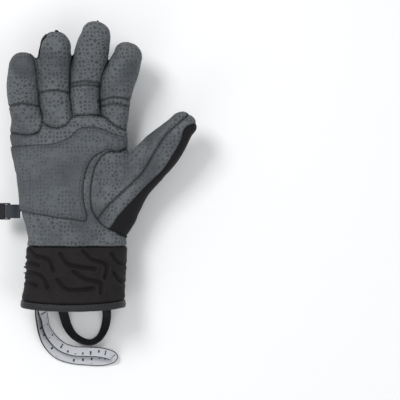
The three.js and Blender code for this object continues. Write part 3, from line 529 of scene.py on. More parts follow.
def wrinkle(bm, height, pitch, seed=0.0):
    """Gives the cloth or leather small uneven swells."""
    amounts = []
    for vert in bm.verts:
        at = vert.co / pitch + Vector((seed, seed, seed))
        amounts.append(height * (noise.noise(at) + 0.4 * noise.noise(at * 2.7)))
    push(bm, amounts)


def piece(name, bm, node, slot, materials, wall=0.0, smooth=True):
    """A finished piece in the frame, in metres, pressed flat where it lies, with its wall grown inwards."""
    for vert in bm.verts:
        vert.co.z = max(vert.co.z, 0)
    bmesh.ops.transform(bm, matrix=Matrix.Scale(0.001, 4) @ Matrix.Translation(SHIFT), verts=bm.verts)
    for face in bm.faces:
        face.smooth = smooth
    mesh = bpy.data.meshes.new(name)
    bm.to_mesh(mesh)
    bm.free()
    obj = bpy.data.objects.new(name, mesh)
    bpy.context.collection.objects.link(obj)
    for material in materials:
        mesh.materials.append(material)
    if wall:
        solid = obj.modifiers.new("wall", "SOLIDIFY")
        solid.thickness = wall / 1000
        solid.offset = -1
        solid.material_offset = len(materials) - 1
        solid.material_offset_rim = 0
    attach(obj, "root")
    if node:
        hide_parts(node)
    return obj


# Materials
WHITE = (1, 1, 1)
PALE_GREY = (0.75, 0.75, 0.75)
DARK_GREY = (0.22, 0.22, 0.22)
BLACK = (0, 0, 0)
# Painted shade laid into the sunk seams and pressed creases, and how strongly it darkens them
SEAM_SHADOW = (0.004, 0.004, 0.005)
SEAM_SHADE_STRENGTH = 0.9
LEATHER_NET = (0.128, 0.138, 0.146)
LEATHER_CELL = (0.046, 0.052, 0.057)
PATCH_NET = (0.100, 0.109, 0.117)
PATCH_CELL = (0.052, 0.058, 0.063)
SOFTSHELL_DARK = (0.004, 0.004, 0.005)
SOFTSHELL_LIGHT = (0.013, 0.013, 0.014)
TAPE_DARK = (0.009, 0.010, 0.011)
TAPE_LIGHT = (0.028, 0.030, 0.032)
NEOPRENE_DARK = (0.006, 0.005, 0.005)
NEOPRENE_LIGHT = (0.018, 0.015, 0.015)
WEB_BLACK = (0.010, 0.010, 0.012)
WEB_EDGE = (0.012, 0.012, 0.014)
WEB_PALE = (0.50, 0.51, 0.54)
WEB_PALE_MARK = (0.30, 0.31, 0.33)
WEB_DARK_MARK = (0.020, 0.020, 0.024)
CLIP_WEB_DARK = (0.020, 0.025, 0.032)
CLIP_WEB_LIGHT = (0.060, 0.070, 0.084)
THREAD_DARK = (0.030, 0.032, 0.034)
THREAD_LIGHT = (0.085, 0.090, 0.095)
PLASTIC_BASE = (0.012, 0.012, 0.013)
PLASTIC_DARK = (0.010, 0.010, 0.011)
PLASTIC_LIGHT = (0.018, 0.018, 0.020)
LEASH_REPEATS = 34

# Woven dashes, as shares of the strap's width
DASH_WIDTH = 0.30
DASH_GAP = 0.012
DASH_LIMIT = 0.62
DASH_FIELD = 0.30
SELVEDGE = 0.42


class Finish:
    """A node material with a Principled shader and short ways to add to it."""

    def __init__(self, name, color, roughness, gloss=0.2):
        self.material = bpy.data.materials.new(name)
        self.material.use_nodes = True
        self.tree = self.material.node_tree
        self.shader = self.tree.nodes["Principled BSDF"]
        self.shader.inputs["Base Color"].default_value = (*color, 1)
        self.shader.inputs["Roughness"].default_value = roughness
        self.shader.inputs["Specular IOR Level"].default_value = gloss
        self.coordinates = self.tree.nodes.new("ShaderNodeTexCoord")

    def node(self, kind, **values):
        made = self.tree.nodes.new("ShaderNode" + kind)
        for key, value in values.items():
            setattr(made, key, value)
        return made

    def link(self, start, end):
        self.tree.links.new(start, end)

    def texture(self, kind, scale, where="Object", **values):
        made = self.node(kind, **values)
        made.inputs["Scale"].default_value = scale
        self.link(self.coordinates.outputs[where], made.inputs["Vector"])
        return made

    def math(self, operation, first, second):
        made = self.node("Math", operation=operation)
        for slot, value in enumerate((first, second)):
            if isinstance(value, (int, float)):
                made.inputs[slot].default_value = value
            else:
                self.link(value, made.inputs[slot])
        return made.outputs[0]

    def ramp(self, factor, stops):
        made = self.node("ValToRGB")
        ramp = made.color_ramp
        while len(ramp.elements) < len(stops):
            ramp.elements.new(0.5)
        for element, (place, color) in zip(ramp.elements, stops):
            element.position = place
            element.color = (*color, 1)
        self.link(factor, made.inputs["Fac"])
        return made.outputs["Color"]

    def mix(self, factor, first, second):
        made = self.node("Mix", data_type="RGBA")
        for slot, value in (("Factor", factor), ("A", first), ("B", second)):
            if isinstance(value, tuple):
                made.inputs[slot].default_value = (*value, 1)
            elif isinstance(value, float):
                made.inputs[slot].default_value = value
            else:
                self.link(value, made.inputs[slot])
        return made.outputs["Result"]

    def color(self, output):
        """Colours the surface, with painted shade in its seams and creases."""
        seam = self.node("Attribute", attribute_name="seam")
        depth = self.math("MULTIPLY", seam.outputs["Fac"], SEAM_SHADE_STRENGTH)
        self.link(self.mix(depth, output, SEAM_SHADOW), self.shader.inputs["Base Color"])

    def rough(self, factor, low, high):
        made = self.node("MapRange")
        made.inputs["To Min"].default_value = low
        made.inputs["To Max"].default_value = high
        self.link(factor, made.inputs["Value"])
        self.link(made.outputs["Result"], self.shader.inputs["Roughness"])

    def bump(self, height, strength, distance):
        made = self.node("Bump")
        made.inputs["Strength"].default_value = strength
        made.inputs["Distance"].default_value = distance
        self.link(height, made.inputs["Height"])
        self.link(made.outputs["Normal"], self.shader.inputs["Normal"])


def leather_finish(name, net, cell, pitch, strength):
    made = Finish(name, cell, 0.62)
    cells = made.texture("TexVoronoi", 1 / pitch, feature="DISTANCE_TO_EDGE")
    cells.inputs["Randomness"].default_value = 0.6
    grain = made.texture("TexNoise", 3 / pitch)
    grain.inputs["Detail"].default_value = 5
    patches = made.texture("TexNoise", 28)
    patches.inputs["Detail"].default_value = 3
    worn = made.ramp(patches.outputs["Fac"], [(0.34, DARK_GREY), (0.52, WHITE)])
    ridge = made.ramp(cells.outputs["Distance"], [(0.0, WHITE), (0.09, PALE_GREY), (0.30, BLACK)])
    amount = made.math("MULTIPLY", ridge, worn)
    shade = made.ramp(amount, [(0.0, cell), (0.9, net)])
    middle = tuple((a + b) / 2 for a, b in zip(net, cell))
    speckle = made.ramp(grain.outputs["Fac"], [(0.35, cell), (0.65, middle)])
    made.color(made.mix(0.25, shade, speckle))
    made.rough(grain.outputs["Fac"], 0.5, 0.72)
    fine = made.math("MULTIPLY", grain.outputs["Fac"], 0.5)
    domes = made.math("MULTIPLY", made.math("MINIMUM", cells.outputs["Distance"], 0.3), 2.2)
    made.bump(made.math("ADD", made.math("MULTIPLY", domes, worn), fine), strength, 0.0006)
    return made.material


def weave_finish(name, dark, light, pitch, roughness, strength, where="Object"):
    made = Finish(name, dark, roughness)
    warp = made.texture("TexWave", 1 / pitch / 3.2, where, bands_direction="X")
    weft = made.texture("TexWave", 1 / pitch / 3.2, where, bands_direction="Y")
    fuzz = made.texture("TexNoise", 1600 if where == "Object" else 300, where)
    cross = made.math("MULTIPLY", warp.outputs["Fac"], weft.outputs["Fac"])
    thread = made.math("ADD", cross, made.math("MULTIPLY", fuzz.outputs["Fac"], 0.6))
    made.color(made.ramp(thread, [(0.2, dark), (1.0, light)]))
    made.bump(thread, strength, 0.0003)
    made.shader.inputs["Sheen Weight"].default_value = 0.02
    made.shader.inputs["Sheen Roughness"].default_value = 0.5
    return made.material


def neoprene_finish():
    made = Finish("neoprene_finish", NEOPRENE_LIGHT, 0.78)
    pile = made.texture("TexNoise", 1400)
    pile.inputs["Detail"].default_value = 4
    mottle = made.texture("TexNoise", 120)
    fur = made.math("ADD", made.math("MULTIPLY", pile.outputs["Fac"], 0.7),
                    made.math("MULTIPLY", mottle.outputs["Fac"], 0.3))
    made.color(made.ramp(fur, [(0.3, NEOPRENE_DARK), (0.75, NEOPRENE_LIGHT)]))
    made.bump(fur, 0.6, 0.0005)
    made.shader.inputs["Sheen Weight"].default_value = 0.03
    made.shader.inputs["Sheen Roughness"].default_value = 0.4
    return made.material


def marked_webbing(name, ground, mark, edge, rows):
    """Webbing with a dark selvedge and plain dashes woven in."""
    made = Finish(name, ground, 0.7)
    split = made.node("SeparateXYZ")
    made.link(made.coordinates.outputs["UV"], split.inputs[0])
    across, along = split.outputs["X"], split.outputs["Y"]
    dashes = made.node("TexBrick", offset=0.5, squash=1.0)
    dashes.inputs["Scale"].default_value = 1.0
    dashes.inputs["Brick Width"].default_value = DASH_WIDTH
    dashes.inputs["Row Height"].default_value = 1 / rows
    dashes.inputs["Mortar Size"].default_value = DASH_GAP
    for slot, shade in (("Color1", BLACK), ("Color2", WHITE), ("Mortar", BLACK)):
        dashes.inputs[slot].default_value = (*shade, 1)
    made.link(made.coordinates.outputs["UV"], dashes.inputs["Vector"])
    middle = made.math("ABSOLUTE", made.math("SUBTRACT", across, 0.5), 0)
    field = made.math("LESS_THAN", middle, DASH_FIELD)
    marks = made.math("MULTIPLY", made.math("GREATER_THAN", dashes.outputs["Color"], DASH_LIMIT), field)
    rim = made.math("GREATER_THAN", middle, SELVEDGE)
    ground_color = made.ramp(marks, [(0.4, ground), (0.6, mark)])
    ribs = made.math("SINE", made.math("MULTIPLY", along, 900), 0)
    slanted = made.math("ADD", across, made.math("MULTIPLY", along, 14))
    twill = made.math("SINE", made.math("MULTIPLY", slanted, 60), 0)
    made.color(made.mix(rim, ground_color, edge))
    made.bump(made.math("ADD", ribs, twill), 0.35, 0.0002)
    return made.material


def plastic_finish():
    made = Finish("moulded_plastic", PLASTIC_BASE, 0.42)
    grain = made.texture("TexNoise", 900)
    made.color(made.ramp(grain.outputs["Fac"], [(0.3, PLASTIC_DARK), (0.7, PLASTIC_LIGHT)]))
    made.rough(grain.outputs["Fac"], 0.36, 0.5)
    made.bump(grain.outputs["Fac"], 0.15, 0.0002)
    return made.material


LEATHER = leather_finish("pebbled_leather", LEATHER_NET, LEATHER_CELL, 0.0034, 0.8)
SMOOTH_LEATHER = leather_finish("patch_leather", PATCH_NET, PATCH_CELL, 0.0032, 0.5)
SOFTSHELL = weave_finish("softshell_weave", SOFTSHELL_DARK, SOFTSHELL_LIGHT, 0.0009, 0.85, 0.5)
TAPE = weave_finish("binding_tape", TAPE_DARK, TAPE_LIGHT, 0.0007, 0.42, 0.4)
NEOPRENE = neoprene_finish()
BLACK_WEB = marked_webbing("black_webbing", WEB_BLACK, WEB_BLACK, WEB_EDGE, 2)
LEASH_BLACK = marked_webbing("leash_outer_face", WEB_BLACK, WEB_PALE_MARK, WEB_BLACK, LEASH_REPEATS)
LEASH_PALE = marked_webbing("leash_inner_face", WEB_PALE, WEB_DARK_MARK, WEB_EDGE, LEASH_REPEATS)
CLIP_WEB = weave_finish("clip_tape", CLIP_WEB_DARK, CLIP_WEB_LIGHT, 0.0008, 0.7, 0.5)
THREAD = weave_finish("sewing_thread", THREAD_DARK, THREAD_LIGHT, 0.0004, 0.6, 0.3)
PLASTIC = plastic_finish()


# The hand's smooth outer form
def hand_surface(u, v):
    row = blend_rows(HAND_SECTIONS, v * (len(HAND_SECTIONS) - 1))
    along, little, thumb, back, palm, corner = row
    center = Vector(((little + thumb) / 2 * PALM_WIDTH, PALM_START + along * PALM_LENGTH,
                     (back + palm) / 2 * PALM_DEPTH))
    half_width = (thumb - little) / 2 * PALM_WIDTH
    half_depth = (palm - back) / 2 * PALM_DEPTH
    return round_point(center, Vector((1, 0, 0)), Vector((0, 0, 1)), half_width, half_depth, corner, u)


def finger_stations(name):
    """Rows of centre x, y, z, width and depth along a finger or the thumb."""
    if name == "thumb":
        root_x = THUMB_ROOT[0] * PALM_WIDTH
        root_y = PALM_START + THUMB_ROOT[1] * PALM_LENGTH
        sin, cos = math.sin(THUMB_ANGLE), math.cos(THUMB_ANGLE)
        return [
            (root_x + along * THUMB_REACH * sin + bow * THUMB_WIDTH * cos,
             root_y + along * THUMB_REACH * cos - bow * THUMB_WIDTH * sin,
             THUMB_HEIGHT + lift * THUMB_LIFT, width * THUMB_WIDTH, depth * THUMB_DEPTH)
            for along, bow, lift, width, depth in THUMB_SECTIONS
        ]
    reach, sections = FINGERS[name]
    return [
        (side * PALM_WIDTH, PALM_START + PALM_LENGTH + along * reach, KNUCKLE_HEIGHT + lift * FINGER_LIFT,
         width * FINGER_WIDTH, depth * FINGER_DEPTH)
        for along, side, lift, width, depth in sections
    ]


def station_frame(stations, place):
    """Centre, run, side, up, width and depth of a finger at a place along its rows."""
    row = blend_rows(stations, place)
    before = Vector(blend_rows(stations, max(place - 0.2, 0))[:3])
    after = Vector(blend_rows(stations, min(place + 0.2, len(stations) - 1))[:3])
    forward = (after - before).normalized()
    side = Vector((forward.y, -forward.x, 0)).normalized()
    return Vector(row[:3]), forward, side, side.cross(forward).normalized(), row[3], row[4]


def finger_surface(stations):
    last = len(stations) - 2
    narrow = [row if row[3] else (*row[:3], *stations[last][3:]) for row in stations]
    base = station_frame(narrow, last)
    reach = Vector(stations[-1][:3]) - base[0]

    def surface(u, v):
        if v < 1 - DOME_SHARE:
            center, _, side, up, width, depth = station_frame(narrow, last * v / (1 - DOME_SHARE))
            return round_point(center, side, up, width / 2, depth / 2, FINGER_CORNER, u)
        angle = (v - 1 + DOME_SHARE) / DOME_SHARE * math.pi / 2
        shrink = math.cos(angle) ** DOME_ROUNDNESS
        center = base[0] + reach * math.sin(angle)
        half_width, half_depth = base[4] / 2 * shrink, base[5] / 2 * shrink
        return round_point(center, base[2], base[3], half_width, half_depth, FINGER_CORNER, u)
    return surface


def remeshed(shells, voxel):
    """Closed shells that cross, made one even skin."""
    whole = bpy.data.meshes.new("whole")
    joined = bmesh.new()
    for shell in shells:
        part = bpy.data.meshes.new("part")
        shell.to_mesh(part)
        joined.from_mesh(part)
        bpy.data.meshes.remove(part)
        shell.free()
    joined.to_mesh(whole)
    joined.free()
    obj = bpy.data.objects.new("whole", whole)
    bpy.context.collection.objects.link(obj)
    modifier = obj.modifiers.new("skin", "REMESH")
    modifier.mode = "VOXEL"
    modifier.voxel_size = voxel
    skin = bpy.data.meshes.new_from_object(obj.evaluated_get(bpy.context.evaluated_depsgraph_get()))
    bm = bmesh.new()
    bm.from_mesh(skin)
    bpy.data.objects.remove(obj)
    bpy.data.meshes.remove(whole)
    bpy.data.meshes.remove(skin)
    return bm


def hand_skin():
    shells = [tube(hand_surface, 64, 64)]
    shells += [tube(finger_surface(finger_stations(name)), 40, 60) for name in (*FINGERS, "thumb")]
    bm = remeshed(shells, VOXEL)
    axes = {"use_axis_x": True, "use_axis_y": True, "use_axis_z": True}
    for _ in range(SKIN_ROUNDS):
        bmesh.ops.smooth_vert(bm, verts=bm.verts, factor=0.5, **axes)
    return bm


def back_field(co):
    """Negative where the black back of the hand and fingers is."""
    along = (co[:, 1] - PALM_START) / PALM_LENGTH
    table = np.array(BACK_EDGES)
    seam, wrap, edge = (np.interp(along, table[:, 0], table[:, i]) for i in (1, 2, 3))
    edge_x = edge * PALM_WIDTH
    slope = (co[:, 0] + PALM_WIDTH) / (edge_x + PALM_WIDTH)
    height = (seam + (wrap - seam) * slope) * PALM_DEPTH
    end = PALM_START + BACK_EDGES[-1][0] * PALM_LENGTH
    field = np.maximum.reduce([co[:, 2] - height, co[:, 0] - edge_x, co[:, 1] - end])
    for name in FINGERS:
        stations = finger_stations(name)
        frames = [station_frame(stations, i / 3) for i in range(3, (len(stations) - 1) * 3)]
        centers = np.array([frame[0] for frame in frames])
        nearest = np.argmin(((co[:, None, :] - centers[None, :, :]) ** 2).sum(axis=2), axis=1)
        sides = np.array([frame[2] for frame in frames])[nearest]
        ups = np.array([frame[3] for frame in frames])[nearest]
        runs = np.array([frame[1] for frame in frames])[nearest]
        local = co - centers[nearest]
        across = np.abs((local * sides).sum(axis=1)) - FINGER_BACK_WIDTH * FINGER_WIDTH
        above = (local * ups).sum(axis=1) + FINGER_BACK_SHARE * FINGER_DEPTH
        behind = np.where(nearest == 0, -(local * runs).sum(axis=1), -ROOM)
        field = np.minimum(field, np.maximum.reduce([across, above, behind]))
    return field


def palm_field(points, corners):
    return line_field(smooth_line(on_palm(points)), corners)


def hand_pieces():
    """The panels of the hand, parted along their seams."""
    skin = hand_skin()
    patch = skin.copy()
    back, front = part_along(skin, back_field)
    finger_backs, back_rest = part_along(back, palm_field(KNUCKLE_LINE, [HIGH, HIGH_LEFT]))
    hand_back, wrist_back = part_along(back_rest, palm_field(WRIST_LINE, [HIGH, HIGH_LEFT]))
    thumb, rest = part_along(front, palm_field(THUMB_LINE, [LOW, HIGH]))
    fingers, palm = part_along(rest, palm_field(FINGER_BASE_LINE, [HIGH, HIGH_LEFT]))
    little, three = part_along(fingers, palm_field(LITTLE_RING_LINE, [HIGH_LEFT, LEFT]))
    ring, two = part_along(three, palm_field(RING_MIDDLE_LINE, [HIGH_LEFT, LEFT]))
    middle, index = part_along(two, palm_field(MIDDLE_INDEX_LINE, [HIGH_LEFT, LEFT]))
    thumb_front, thumb_back = part_along(thumb, lambda co: -palm_field(THUMB_BLACK_LINE, [HIGH, LOW])(co))
    thumb_side, thumb_web = part_along(thumb_front, palm_field(THUMB_SEAM_LINE, [HIGH, LOW]))
    folds = [on_palm(line) for line in SOFT_FOLDS]
    creases = [on_palm(line) for line in FINGER_CREASES]
    panels = {
        "palm_leather": (palm, "leather", LEATHER),
        "little_finger_front": (little, "leather", LEATHER),
        "ring_finger_front": (ring, "leather", LEATHER),
        "middle_finger_front": (middle, "leather", LEATHER),
        "index_finger_front": (index, "leather", LEATHER),
        "thumb_web_panel": (thumb_web, "leather", LEATHER),
        "thumb_side_panel": (thumb_side, "leather", LEATHER),
        "thumb_back": (thumb_back, "softshell", SOFTSHELL),
        "finger_backs": (finger_backs, "softshell", SOFTSHELL),
        "hand_back": (hand_back, "softshell", SOFTSHELL),
        "wrist_back": (wrist_back, "softshell", SOFTSHELL),
    }
    skins = {}
    for name, (bm, slot, material) in panels.items():
        wrinkle(bm, *HAND_SWELL)
        crease(bm, folds, *SOFT_FOLD)
        if name.endswith("finger_front"):
            crease(bm, creases, *FINGER_CREASE)
        sew(bm)
        skins[name] = bm.copy()
        piece(name + "_panel", bm, name, slot, [material], WALL)
    outline = np.array(smooth_line(on_palm(PATCH_OUTLINE)))
    patch, spare = part_along(patch, line_field(outline, []))
    patch_low, patch_high = part_along(patch, lambda co: co[:, 2] - PATCH_LOW * PALM_DEPTH)
    wrinkle(patch_high, *HAND_SWELL)
    crease(patch_high, folds, *PATCH_FOLD)
    push(patch_high, [GAP + PATCH_THICKNESS] * len(patch_high.verts))
    sew(patch_high, *PATCH_RIM)
    skins["palm_patch"] = patch_high.copy()
    piece("palm_patch_panel", patch_high, "palm_patch", "leather", [SMOOTH_LEATHER], PATCH_THICKNESS)
    for leftover in (spare, patch_low):
        leftover.free()
    return skins


# Cuff
def cuff_point(u, y, extra):
    """A point round the cuff at a height above the hem."""
    along = (y - CUFF_START) / CUFF_LENGTH
    held = min(max(along, 0), 1)
    _, little, thumb, back, palm = row_at(CUFF_SECTIONS, held)
    left, right = little * CUFF_WIDTH - extra, thumb * CUFF_WIDTH + extra
    low, high = CUFF_BASE + back * CUFF_DEPTH - extra, CUFF_BASE + palm * CUFF_DEPTH + extra
    center = Vector(((left + right) / 2, y, (low + high) / 2))
    half = (right - left) / 2
    half_depth = (high - low) / 2
    point = round_point(center, Vector((1, 0, 0)), Vector((0, 0, 1)), half, half_depth, CUFF_CORNER, u)
    point.y -= HEM_BOW * (1 - held) * (1 - ((point.x - center.x) / half) ** 2)
    return point


def cuff_shell(low, high, extra, grid=CUFF_GRID):
    """An open band round the wrist; extra may be a function of the share from its lower edge."""
    def surface(u, v):
        out = extra(v) if callable(extra) else extra
        return cuff_point(u, low + v * (high - low), out)
    bm = mapped(surface, *grid)
    bmesh.ops.remove_doubles(bm, verts=bm.verts, dist=0.001)
    bmesh.ops.recalc_face_normals(bm, faces=bm.faces)
    bm.normal_update()
    middle = Vector(places(bm).mean(axis=0))
    outward = sum(face.normal.dot(face.calc_center_median() - middle) for face in bm.faces)
    if outward < 0:
        bmesh.ops.reverse_faces(bm, faces=bm.faces)
    return bm


def slit_field(grow):
    """Negative inside the slit's outline on the back of the cuff."""
    half = SLIT_WIDTH / 2 + grow
    middle = CUFF_END - BINDING_WIDTH - 1 - SLIT_WIDTH / 2

    def field(co):
        straight = np.abs(co[:, 0] - SLIT_PLACE)
        arch = np.hypot(co[:, 0] - SLIT_PLACE, co[:, 1] - middle)
        away = np.where(co[:, 1] < middle, straight, arch) - half
        return np.maximum(away, co[:, 2] - CUFF_BASE - CUFF_DEPTH / 2)
    return field


def box_field(left, right, low, high, slant=0.0):
    """Negative inside a four-sided outline on the back of the cuff."""
    def field(co):
        lean = slant * (co[:, 1] - low) / (high - low)
        return np.maximum.reduce([left + lean - co[:, 0], co[:, 0] - right, low - co[:, 1], co[:, 1] - high,
                                  co[:, 2] - CUFF_BASE - CUFF_DEPTH / 2])
    return field


def cuff_pieces():
    skins = {}
    shell = cuff_shell(CUFF_START, CUFF_END, 0)
    crease(shell, [on_cuff(line) for line in CUFF_GROOVES], *GROOVE)
    wrinkle(shell, *CUFF_SWELL)
    inside, ring = part_along(shell, slit_field(0))
    back, palm = part_along(ring, lambda co: np.maximum(co[:, 0] - SLIT_PLACE, co[:, 2] - SEAM_HEIGHT))
    inside.free()
    panels = [("cuff_palm", palm, "neoprene", NEOPRENE), ("cuff_back", back, "softshell", SOFTSHELL)]
    for name, bm, slot, material in panels:
        sew(bm, *CUFF_RIM)
        skins[name] = bm.copy()
        piece(name + "_panel", bm, name, slot, [material], CUFF_WALL)

    def rolled(v):
        piping = PIPING * math.exp(-((v - PIPING_PLACE) / PIPING_REACH) ** 2)
        return HEM_PROUD + HEM_ROLL * math.sin(math.pi * min(v / 0.8, 1)) ** 0.6 + piping
    inside, hem = part_along(cuff_shell(0, HEM_HEIGHT, rolled, HEM_GRID), slit_field(0))
    inside.free()
    wrinkle(hem, *HEM_SWELL)
    skins["cuff_hem"] = hem.copy()
    piece("cuff_hem_tape", hem, "cuff_hem", "binding", [TAPE], CUFF_WALL + 1)

    half = SLIT_WIDTH / 2 + BINDING_WIDTH
    gusset = cuff_shell(1, CUFF_END - 1, -CUFF_WALL - GAP, GUSSET_GRID)
    gusset, spare = part_along(gusset, box_field(SLIT_PLACE - half, SLIT_PLACE + half, -ROOM, ROOM))
    spare.free()
    wrinkle(gusset, *GUSSET_SWELL)
    piece("slit_gusset_panel", gusset, "slit_gusset", "softshell", [SOFTSHELL], GUSSET_WALL)

    cover = cuff_shell(CUFF_START, CUFF_END, GAP + BINDING_THICKNESS)
    rim, spare = part_along(cover, slit_field(BINDING_WIDTH))
    spare.free()
    spare, rim = part_along(rim, slit_field(0))
    spare.free()
    sew(rim, *BINDING_RIM)
    piece("slit_binding_tape", rim, "slit_binding", "binding", [TAPE], BINDING_THICKNESS)

    start = SLIT_PLACE + SLIT_WIDTH / 2
    low = CUFF_START + WALL
    cover = cuff_shell(CUFF_START, CUFF_END, 2 * GAP + BINDING_THICKNESS + TAB_THICKNESS)
    tab, spare = part_along(cover, box_field(start - TAB_LENGTH, start, low, low + TAB_WIDTH, TAB_SLANT))
    spare.free()
    sew(tab, *TAB_RIM)
    for vert in tab.verts:
        vert.co.z = max(vert.co.z, 0.0)
    skins["closure_tab"] = tab.copy()
    piece("closure_tab_strap", tab, "closure_tab", "softshell", [SOFTSHELL], TAB_THICKNESS - 0.4)
    return skins


# Webbing
def ribbon(name, node, centers, turns, width, materials, along):
    """A flat strap through its stations, with an even edge and its pattern along it."""
    rows = [(*center, turn) for center, turn in zip(centers, turns)]
    top = len(rows) - 1
    facing = []
    for i in range(along + 1):
        place = i / along * top
        before = Vector(blend_rows(rows, max(place - 0.15, 0))[:3])
        after = Vector(blend_rows(rows, min(place + 0.15, top))[:3])
        forward = (after - before).normalized()
        level = Vector((forward.y, -forward.x, 0)).normalized()
        if facing and level.dot(facing[-1][1]) < 0:
            level = -level
        facing.append((forward, level))

    def surface(u, v):
        row = blend_rows(rows, v * top)
        forward, level = facing[round(v * along)]
        side = Matrix.Rotation(math.radians(row[3]), 3, forward) @ level
        crown = side.cross(forward).normalized() * (0.12 * (1 - (2 * u - 1) ** 2) - 0.06)
        return Vector(row[:3]) + side * ((u - 0.5) * width) + crown
    bm = mapped(surface, 10, along)
    bm.normal_update()
    push(bm, [WEBBING / 2] * len(bm.verts))
    obj = piece(name, bm, node, "webbing", materials, WEBBING)
    bevel = obj.modifiers.new("soft edge", "BEVEL")
    bevel.width = WEBBING_EDGE / 1000
    bevel.segments = 2
    bevel.limit_method = "ANGLE"
    return obj


def smooth_step(value, low, high):
    share = min(max((value - low) / (high - low), 0), 1)
    return share * share * (3 - 2 * share)


def inside_cuff(x):
    """The height of the cuff's inner back wall."""
    _, little, thumb, back, palm = CUFF_SECTIONS[0]
    left, right = little * CUFF_WIDTH + CUFF_WALL, thumb * CUFF_WIDTH - CUFF_WALL
    low, high = CUFF_BASE + back * CUFF_DEPTH + CUFF_WALL, CUFF_BASE + palm * CUFF_DEPTH - CUFF_WALL
    share = min(abs(x - (left + right) / 2) / ((right - left) / 2), 0.98)
    return (high + low) / 2 - (1 - share ** CUFF_CORNER) ** (1 / CUFF_CORNER) * (high - low) / 2


def webbing_pieces():
    centers = []
    for across, out, turn in LOOP_STATIONS:
        lean = math.radians(turn)
        x = LOOP_PLACE + across * LOOP_SPAN / 2
        resting = GAP + (math.sin(lean) * LOOP_WIDTH + math.cos(lean) * WEBBING) / 2
        start = inside_cuff(x) + GUSSET_WALL + 2 * (GAP + WEBBING)
        fall = smooth_step(out, *LOOP_FALL)
        centers.append((x, -HEM_BOW - out * LOOP_REACH, start + (resting - start) * fall))
    turns = [-row[2] for row in LOOP_STATIONS]
    ribbon("pull_loop_webbing", "pull_loop", centers, turns, LOOP_WIDTH, [BLACK_WEB], 150)
    centers = [(LEASH_PLACE + right * LEASH_RUN, -down * LEASH_DROP, high * WEBBING)
               for right, down, high, _ in LEASH_STATIONS]
    turns = [row[3] for row in LEASH_STATIONS]
    ribbon("leash_loop_webbing", "leash_loop", centers, turns, LEASH_WIDTH, [LEASH_PALE, LEASH_BLACK], 260)


# Side clip
def clip_pieces():
    row = row_at(HAND_SECTIONS, CLIP_PLACE)
    clip_x = row[1] * PALM_WIDTH - PATCH_THICKNESS - 2 * GAP
    clip_y = PALM_START + CLIP_PLACE * PALM_LENGTH
    clip_z = (row[3] + row[4]) / 2 * PALM_DEPTH
    bar = clip_x - CLIP_WEB_LENGTH
    turn = bar - CLIP_BAR - 2 * GAP - WEBBING / 2
    rise = CLIP_THICKNESS / 2 + 2 * GAP + WEBBING / 2
    upper = [
        (clip_x, WEBBING * 0.9), (clip_x - CLIP_WEB_LENGTH * 0.3, WEBBING * 0.8),
        (clip_x - CLIP_WEB_LENGTH * 0.8, rise), (bar - CLIP_BAR, rise), (turn, rise * 0.6),
    ]
    fold = upper + [(x, -z) for x, z in reversed(upper)]

    def surface(u, v):
        x, z = blend_rows(fold, v * (len(fold) - 1))
        return Vector((x, clip_y + (u - 0.5) * CLIP_WEB_WIDTH, clip_z + z))
    bm = mapped(surface, 10, 60)
    bm.normal_update()
    top = max(bm.faces, key=lambda face: face.calc_center_median().z)
    if top.normal.z < 0:
        bmesh.ops.reverse_faces(bm, faces=bm.faces)
    push(bm, [WEBBING / 2] * len(bm.verts))
    piece("clip_webbing_fold", bm, "clip_webbing", "webbing", [CLIP_WEB], WEBBING)

    bm = bmesh.new()
    bmesh.ops.create_grid(bm, x_segments=3, y_segments=3, size=0.5)
    outer_end = bar - CLIP_LENGTH
    half, slot_half = CLIP_WIDTH / 2, CLIP_WEB_WIDTH / 2 + GAP
    columns = [outer_end, outer_end + CLIP_OUTER_BAR, bar - CLIP_BAR, bar]
    rows = [-half, -slot_half, slot_half, half]
    for vert in bm.verts:
        column = round((vert.co.x + 0.5) * 3)
        line = round((vert.co.y + 0.5) * 3)
        vert.co = (columns[column], clip_y + rows[line], clip_z + CLIP_THICKNESS / 2)
    middle = min(bm.faces, key=lambda face: (face.calc_center_median() - Vector((
        (columns[1] + columns[2]) / 2, clip_y, clip_z))).length)
    bmesh.ops.delete(bm, geom=[middle], context="FACES")
    bm.normal_update()
    obj = piece("clip_hook_frame", bm, "clip_hook", "clip_plastic", [PLASTIC], CLIP_THICKNESS, smooth=False)
    bevel = obj.modifiers.new("moulded edge", "BEVEL")
    bevel.width = CLIP_EDGE / 1000
    bevel.segments = 3
    bevel.limit_method = "ANGLE"


# Stitches
def stitch_rows(name, skins, rows, pitch=2.6, length=1.9, thick=0.34, below=False):
    """Rows of stitches laid on the panels' skins, seen from above or from below."""
    trees = [BVHTree.FromBMesh(bm) for bm in skins]
    down = Vector((0, 0, 1 if below else -1))
    bm = bmesh.new()
    for line in rows:
        gone = 0.0
        for start, end in zip(line[:-1], line[1:]):
            run = Vector((*(end - start), 0))
            gone += run.length
            if gone < pitch or run.length == 0:
                continue
            gone = 0.0
            origin = Vector((*end, BELOW if below else ABOVE))
            hits = [tree.ray_cast(origin, down) for tree in trees]
            hits = [hit for hit in hits if hit[0] is not None]
            if not hits:
                continue
            spot, normal = min(hits, key=lambda hit: hit[3])[:2]
            along = (run - normal * run.dot(normal)).normalized()
            across = normal.cross(along)
            place = Matrix((along, across, normal)).transposed().to_4x4()
            place.translation = spot + normal * thick * 0.25
            size = Matrix.Diagonal((length / 2, thick, thick, 1))
            bmesh.ops.create_uvsphere(bm, u_segments=8, v_segments=5, radius=1, matrix=place @ size)
    piece(name, bm, None, "binding", [THREAD])


def shifted(points, offset, steps=40):
    """A smooth plan line moved sideways, to its left as it runs."""
    line = smooth_line(points, steps)
    run = np.gradient(line, axis=0)
    run /= np.linalg.norm(run, axis=1)[:, None]
    return line + np.stack([-run[:, 1], run[:, 0]], axis=1) * offset


